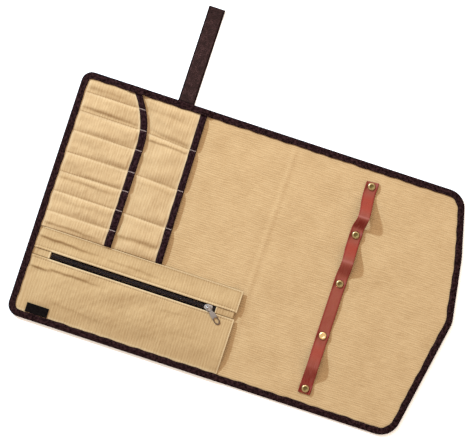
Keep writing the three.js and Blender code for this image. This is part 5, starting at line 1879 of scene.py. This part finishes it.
class MakeStitches(bpy.types.Operator):
    """Sews the seams, hems, tapes and strap with rows of stitches"""

    bl_idname = "cutlery_roll.stitches"
    bl_label = "Stitches"

    def execute(self, context):
        sizes = context.scene.roll_sizes
        colours = context.scene.roll_colours
        width = sizes.thread_width / MM
        usual = {"pitch": sizes.stitch_pitch / MM, "length": sizes.stitch_length / MM, "width": width}
        seam = {"pitch": 2.6, "length": 2.0, "width": width}
        bar = {"pitch": 1.9, "length": 1.8, "width": 0.8}
        strap = {"pitch": 2.4, "length": 1.9, "width": width}
        edge_line = ring_line(EDGE_WIDTH - 2.0, EDGE_THREAD_RISE)
        sand = thread_material("Sand thread", colours.sand_thread)
        dark = thread_material("Dark thread", colours.dark_thread)
        pale = thread_material("Pale thread", colours.pale_thread)
        sewn("seam_stitches", self.seam_lines(), sand, "pocket_canvas", **seam)
        sewn("zip_stitches", self.zip_lines(), sand, "zip_canvas", **usual)
        sewn("edge_stitches", [edge_line], dark, "edge_tape", **usual)
        sewn("mouth_stitches", self.mouth_lines(), dark, "mouth_tape", **usual)
        sewn("seam_bars", self.bar_lines(), pale, "mouth_tape", **bar)
        sewn("strap_stitches", self.strap_lines(), dark, "loop_pile", **strap)
        return {"FINISHED"}

    def seam_lines(self):
        lines = []
        for seam in SEAMS:
            y = seam_height(seam["up"])
            end = float(narrow_mouth(y)) - NARROW_MOUTH_WIDTH - 0.6
            x = np.linspace(EDGE_WIDTH + 0.6, end, 120)
            lines.append((x, y + 0 * x, pocket_top(NARROW, x, y + 0 * x) + SEAM_THREAD_RISE))
            if seam["through"]:
                end = float(wide_mouth(y)) - WIDE_MOUTH_WIDTH - 0.6
                x = np.linspace(float(narrow_mouth(y)) + 1.2, end, 120)
                sunk = y - seam["drop"] * seam_drop(x)
                lines.append((x, sunk, pocket_top(WIDE, x, sunk) + SEAM_THREAD_RISE))
        return lines

    def bar_lines(self):
        lines = []
        for seam in SEAMS:
            y = seam_height(seam["up"])
            for tier in (NARROW, WIDE) if seam["through"] else (NARROW,):
                for shift in (-0.35, 0.35):
                    at = y + shift - (seam["drop"] if tier is WIDE else 0.0)
                    edge = float(tier["mouth"](at))
                    x = np.linspace(edge - tier["width"] + 0.3, edge - 0.8, 40)
                    share = (x - x[0]) / (x[-1] - x[0])
                    top = float(tier["low"](edge, at)) - SEAM_PINCH + OVER_MOUTH
                    lines.append((x, at + 0 * x, top + 0.4 + 1.2 * share * (1 - share)))
        return lines

    def zip_lines(self):
        lines = []
        x = np.linspace(EDGE_WIDTH + 1.0, ZIP_LENGTH - ZIP_SIDE_STITCH, 300)
        for y in (ZIP_HEIGHT - ZIP_TOP_STITCH, WINDOW_LOW - LIP_STITCH, WINDOW_HIGH + LIP_STITCH):
            lines.append((x, y + 0 * x, zip_top(x, y + 0 * x) + ZIP_THREAD_RISE))
        y = np.linspace(EDGE_WIDTH + 1.0, ZIP_HEIGHT - ZIP_TOP_STITCH, 120)
        for keep in (y < WINDOW_LOW, y > WINDOW_HIGH):
            x = ZIP_LENGTH - ZIP_SIDE_STITCH + 0 * y[keep]
            lines.append((x, y[keep], zip_top(x, y[keep]) + ZIP_THREAD_RISE))
        return lines

    def mouth_lines(self):
        lines = []
        y = np.linspace(POCKET_BOTTOM + 1.0, POCKET_TOP - 1.0, 300)
        for tier in (NARROW, WIDE):
            edge = tier["mouth"](y)
            z = tier["low"](edge, y) + mouth_pinch(tier, edge, y) + OVER_MOUTH + 0.3
            lines.append((edge - tier["width"] + 1.8, y, z))
        return lines

    def strap_lines(self):
        low = ROLL_DEPTH + STRAP_REACH - STRAP_HEM + 1.6
        high = ROLL_DEPTH + STRAP_REACH - 2.6
        half = STRAP_WIDTH / 2 - 1.8
        top = STRAP_TOP + SEAM_THREAD_RISE
        corners = [(-half, low), (half, low), (half, high), (-half, high), (-half, low)]
        lines = []
        for (x, y), (to_x, to_y) in zip(corners, corners[1:]):
            lines.append((STRAP_X + np.linspace(x, to_x, 8), np.linspace(y, to_y, 8), top))
        return lines


class MakeStage(bpy.types.Operator):
    """Sets the floor, the lights and the camera"""

    bl_idname = "cutlery_roll.stage"
    bl_label = "Stage"

    def execute(self, context):
        scene = context.scene
        stage = scene.roll_stage
        shape = bmesh.new()
        bmesh.ops.create_grid(shape, x_segments=1, y_segments=1, size=6.0)
        bmesh.ops.translate(shape, verts=shape.verts, vec=(0.0, 0.0, -FLOOR_DROP))
        floor = new_piece("floor", mesh_from(shape, "floor"))
        paint = bpy.data.materials.new("Pale floor")
        paint.use_nodes = True
        surface = paint.node_tree.nodes["Principled BSDF"]
        shade = stage.floor_shade / 255
        surface.inputs["Base Color"].default_value = (0.97 * shade, 0.97 * shade, 0.97 * shade, 1.0)
        surface.inputs["Roughness"].default_value = 0.9
        surface.inputs["Specular IOR Level"].default_value = 0.1
        floor.data.materials.append(paint)

        height = stage.key_height
        across = math.cos(height)
        toward = Vector((KEY_WAY["x"] * across, KEY_WAY["y"] * across, math.sin(height)))
        self.add_lamp("key", KEY_DISTANCE * toward, KEY_SIZE, stage.key_power, KEY_COLOUR)
        self.add_lamp("soft light", SOFT_PLACE, SOFT_SIZE, stage.soft_power, SOFT_COLOUR)

        world = bpy.data.worlds.new("Soft light")
        world.use_nodes = True
        sky = world.node_tree.nodes["Background"]
        sky.inputs["Color"].default_value = SKY_COLOUR
        sky.inputs["Strength"].default_value = stage.fill
        scene.world = world

        lens = bpy.data.cameras.new("camera")
        lens.lens = stage.lens
        lens.sensor_width = SENSOR_WIDTH
        lens.clip_end = 50.0
        camera = bpy.data.objects.new("camera", lens)
        camera.location = VIEW_CENTRE + Vector((0.0, 0.0, stage.view_width * stage.lens / SENSOR_WIDTH))
        camera.rotation_euler = (0.0, 0.0, stage.view_turn)
        scene.collection.objects.link(camera)
        scene.camera = camera
        scene.view_settings.view_transform = "Standard"
        return {"FINISHED"}

    def add_lamp(self, name, place, size, power, colour):
        """Adds a round lamp that shines at the picture's middle, at a place measured from there."""
        lamp = bpy.data.lights.new(name, "AREA")
        lamp.shape = "DISK"
        lamp.size = size
        lamp.energy = power
        lamp.color = colour
        light = bpy.data.objects.new(name, lamp)
        light.location = VIEW_CENTRE + place
        light.rotation_euler = (VIEW_CENTRE - light.location).to_track_quat("-Z", "Y").to_euler()
        bpy.context.scene.collection.objects.link(light)


OPERATORS = (
    MakeBaseCloth,
    MakeEdgeTape,
    MakePockets,
    MakeMouthTapes,
    MakeZipPocket,
    MakeZip,
    MakeSlider,
    MakeLabel,
    MakeLeather,
    MakeRivets,
    MakeClosingStrap,
    MakeStitches,
    MakeStage,
)


# Where each group of settings is kept, and its title
SETTINGS = (
    ("roll_sizes", "Sizes", RollSizes),
    ("roll_colours", "Colours", RollColours),
    ("roll_stage", "Stage", RollStage),
)


class RollPanel(bpy.types.Panel):
    """Lists the sizes, the colours and the pieces of the roll"""

    bl_idname = "VIEW3D_PT_cutlery_roll"
    bl_label = "Cutlery roll"
    bl_space_type = "VIEW_3D"
    bl_region_type = "UI"
    bl_category = "Cutlery roll"

    def draw(self, context):
        for place, title, kind in SETTINGS:
            box = self.layout.box()
            box.label(text=title)
            for name in kind.__annotations__:
                box.prop(getattr(context.scene, place), name)
        for operator in OPERATORS:
            self.layout.operator(operator.bl_idname)


def register():
    for place, _, kind in SETTINGS:
        bpy.utils.register_class(kind)
        setattr(bpy.types.Scene, place, PointerProperty(type=kind))
    for kind in (*OPERATORS, RollPanel):
        bpy.utils.register_class(kind)


def unregister():
    for kind in (RollPanel, *reversed(OPERATORS)):
        bpy.utils.unregister_class(kind)
    for place, _, kind in reversed(SETTINGS):
        delattr(bpy.types.Scene, place)
        bpy.utils.unregister_class(kind)


def main():
    register()
    for operator in OPERATORS:
        space, name = operator.bl_idname.split(".")
        getattr(getattr(bpy.ops, space), name)()


if __name__ == "__main__":
    main()
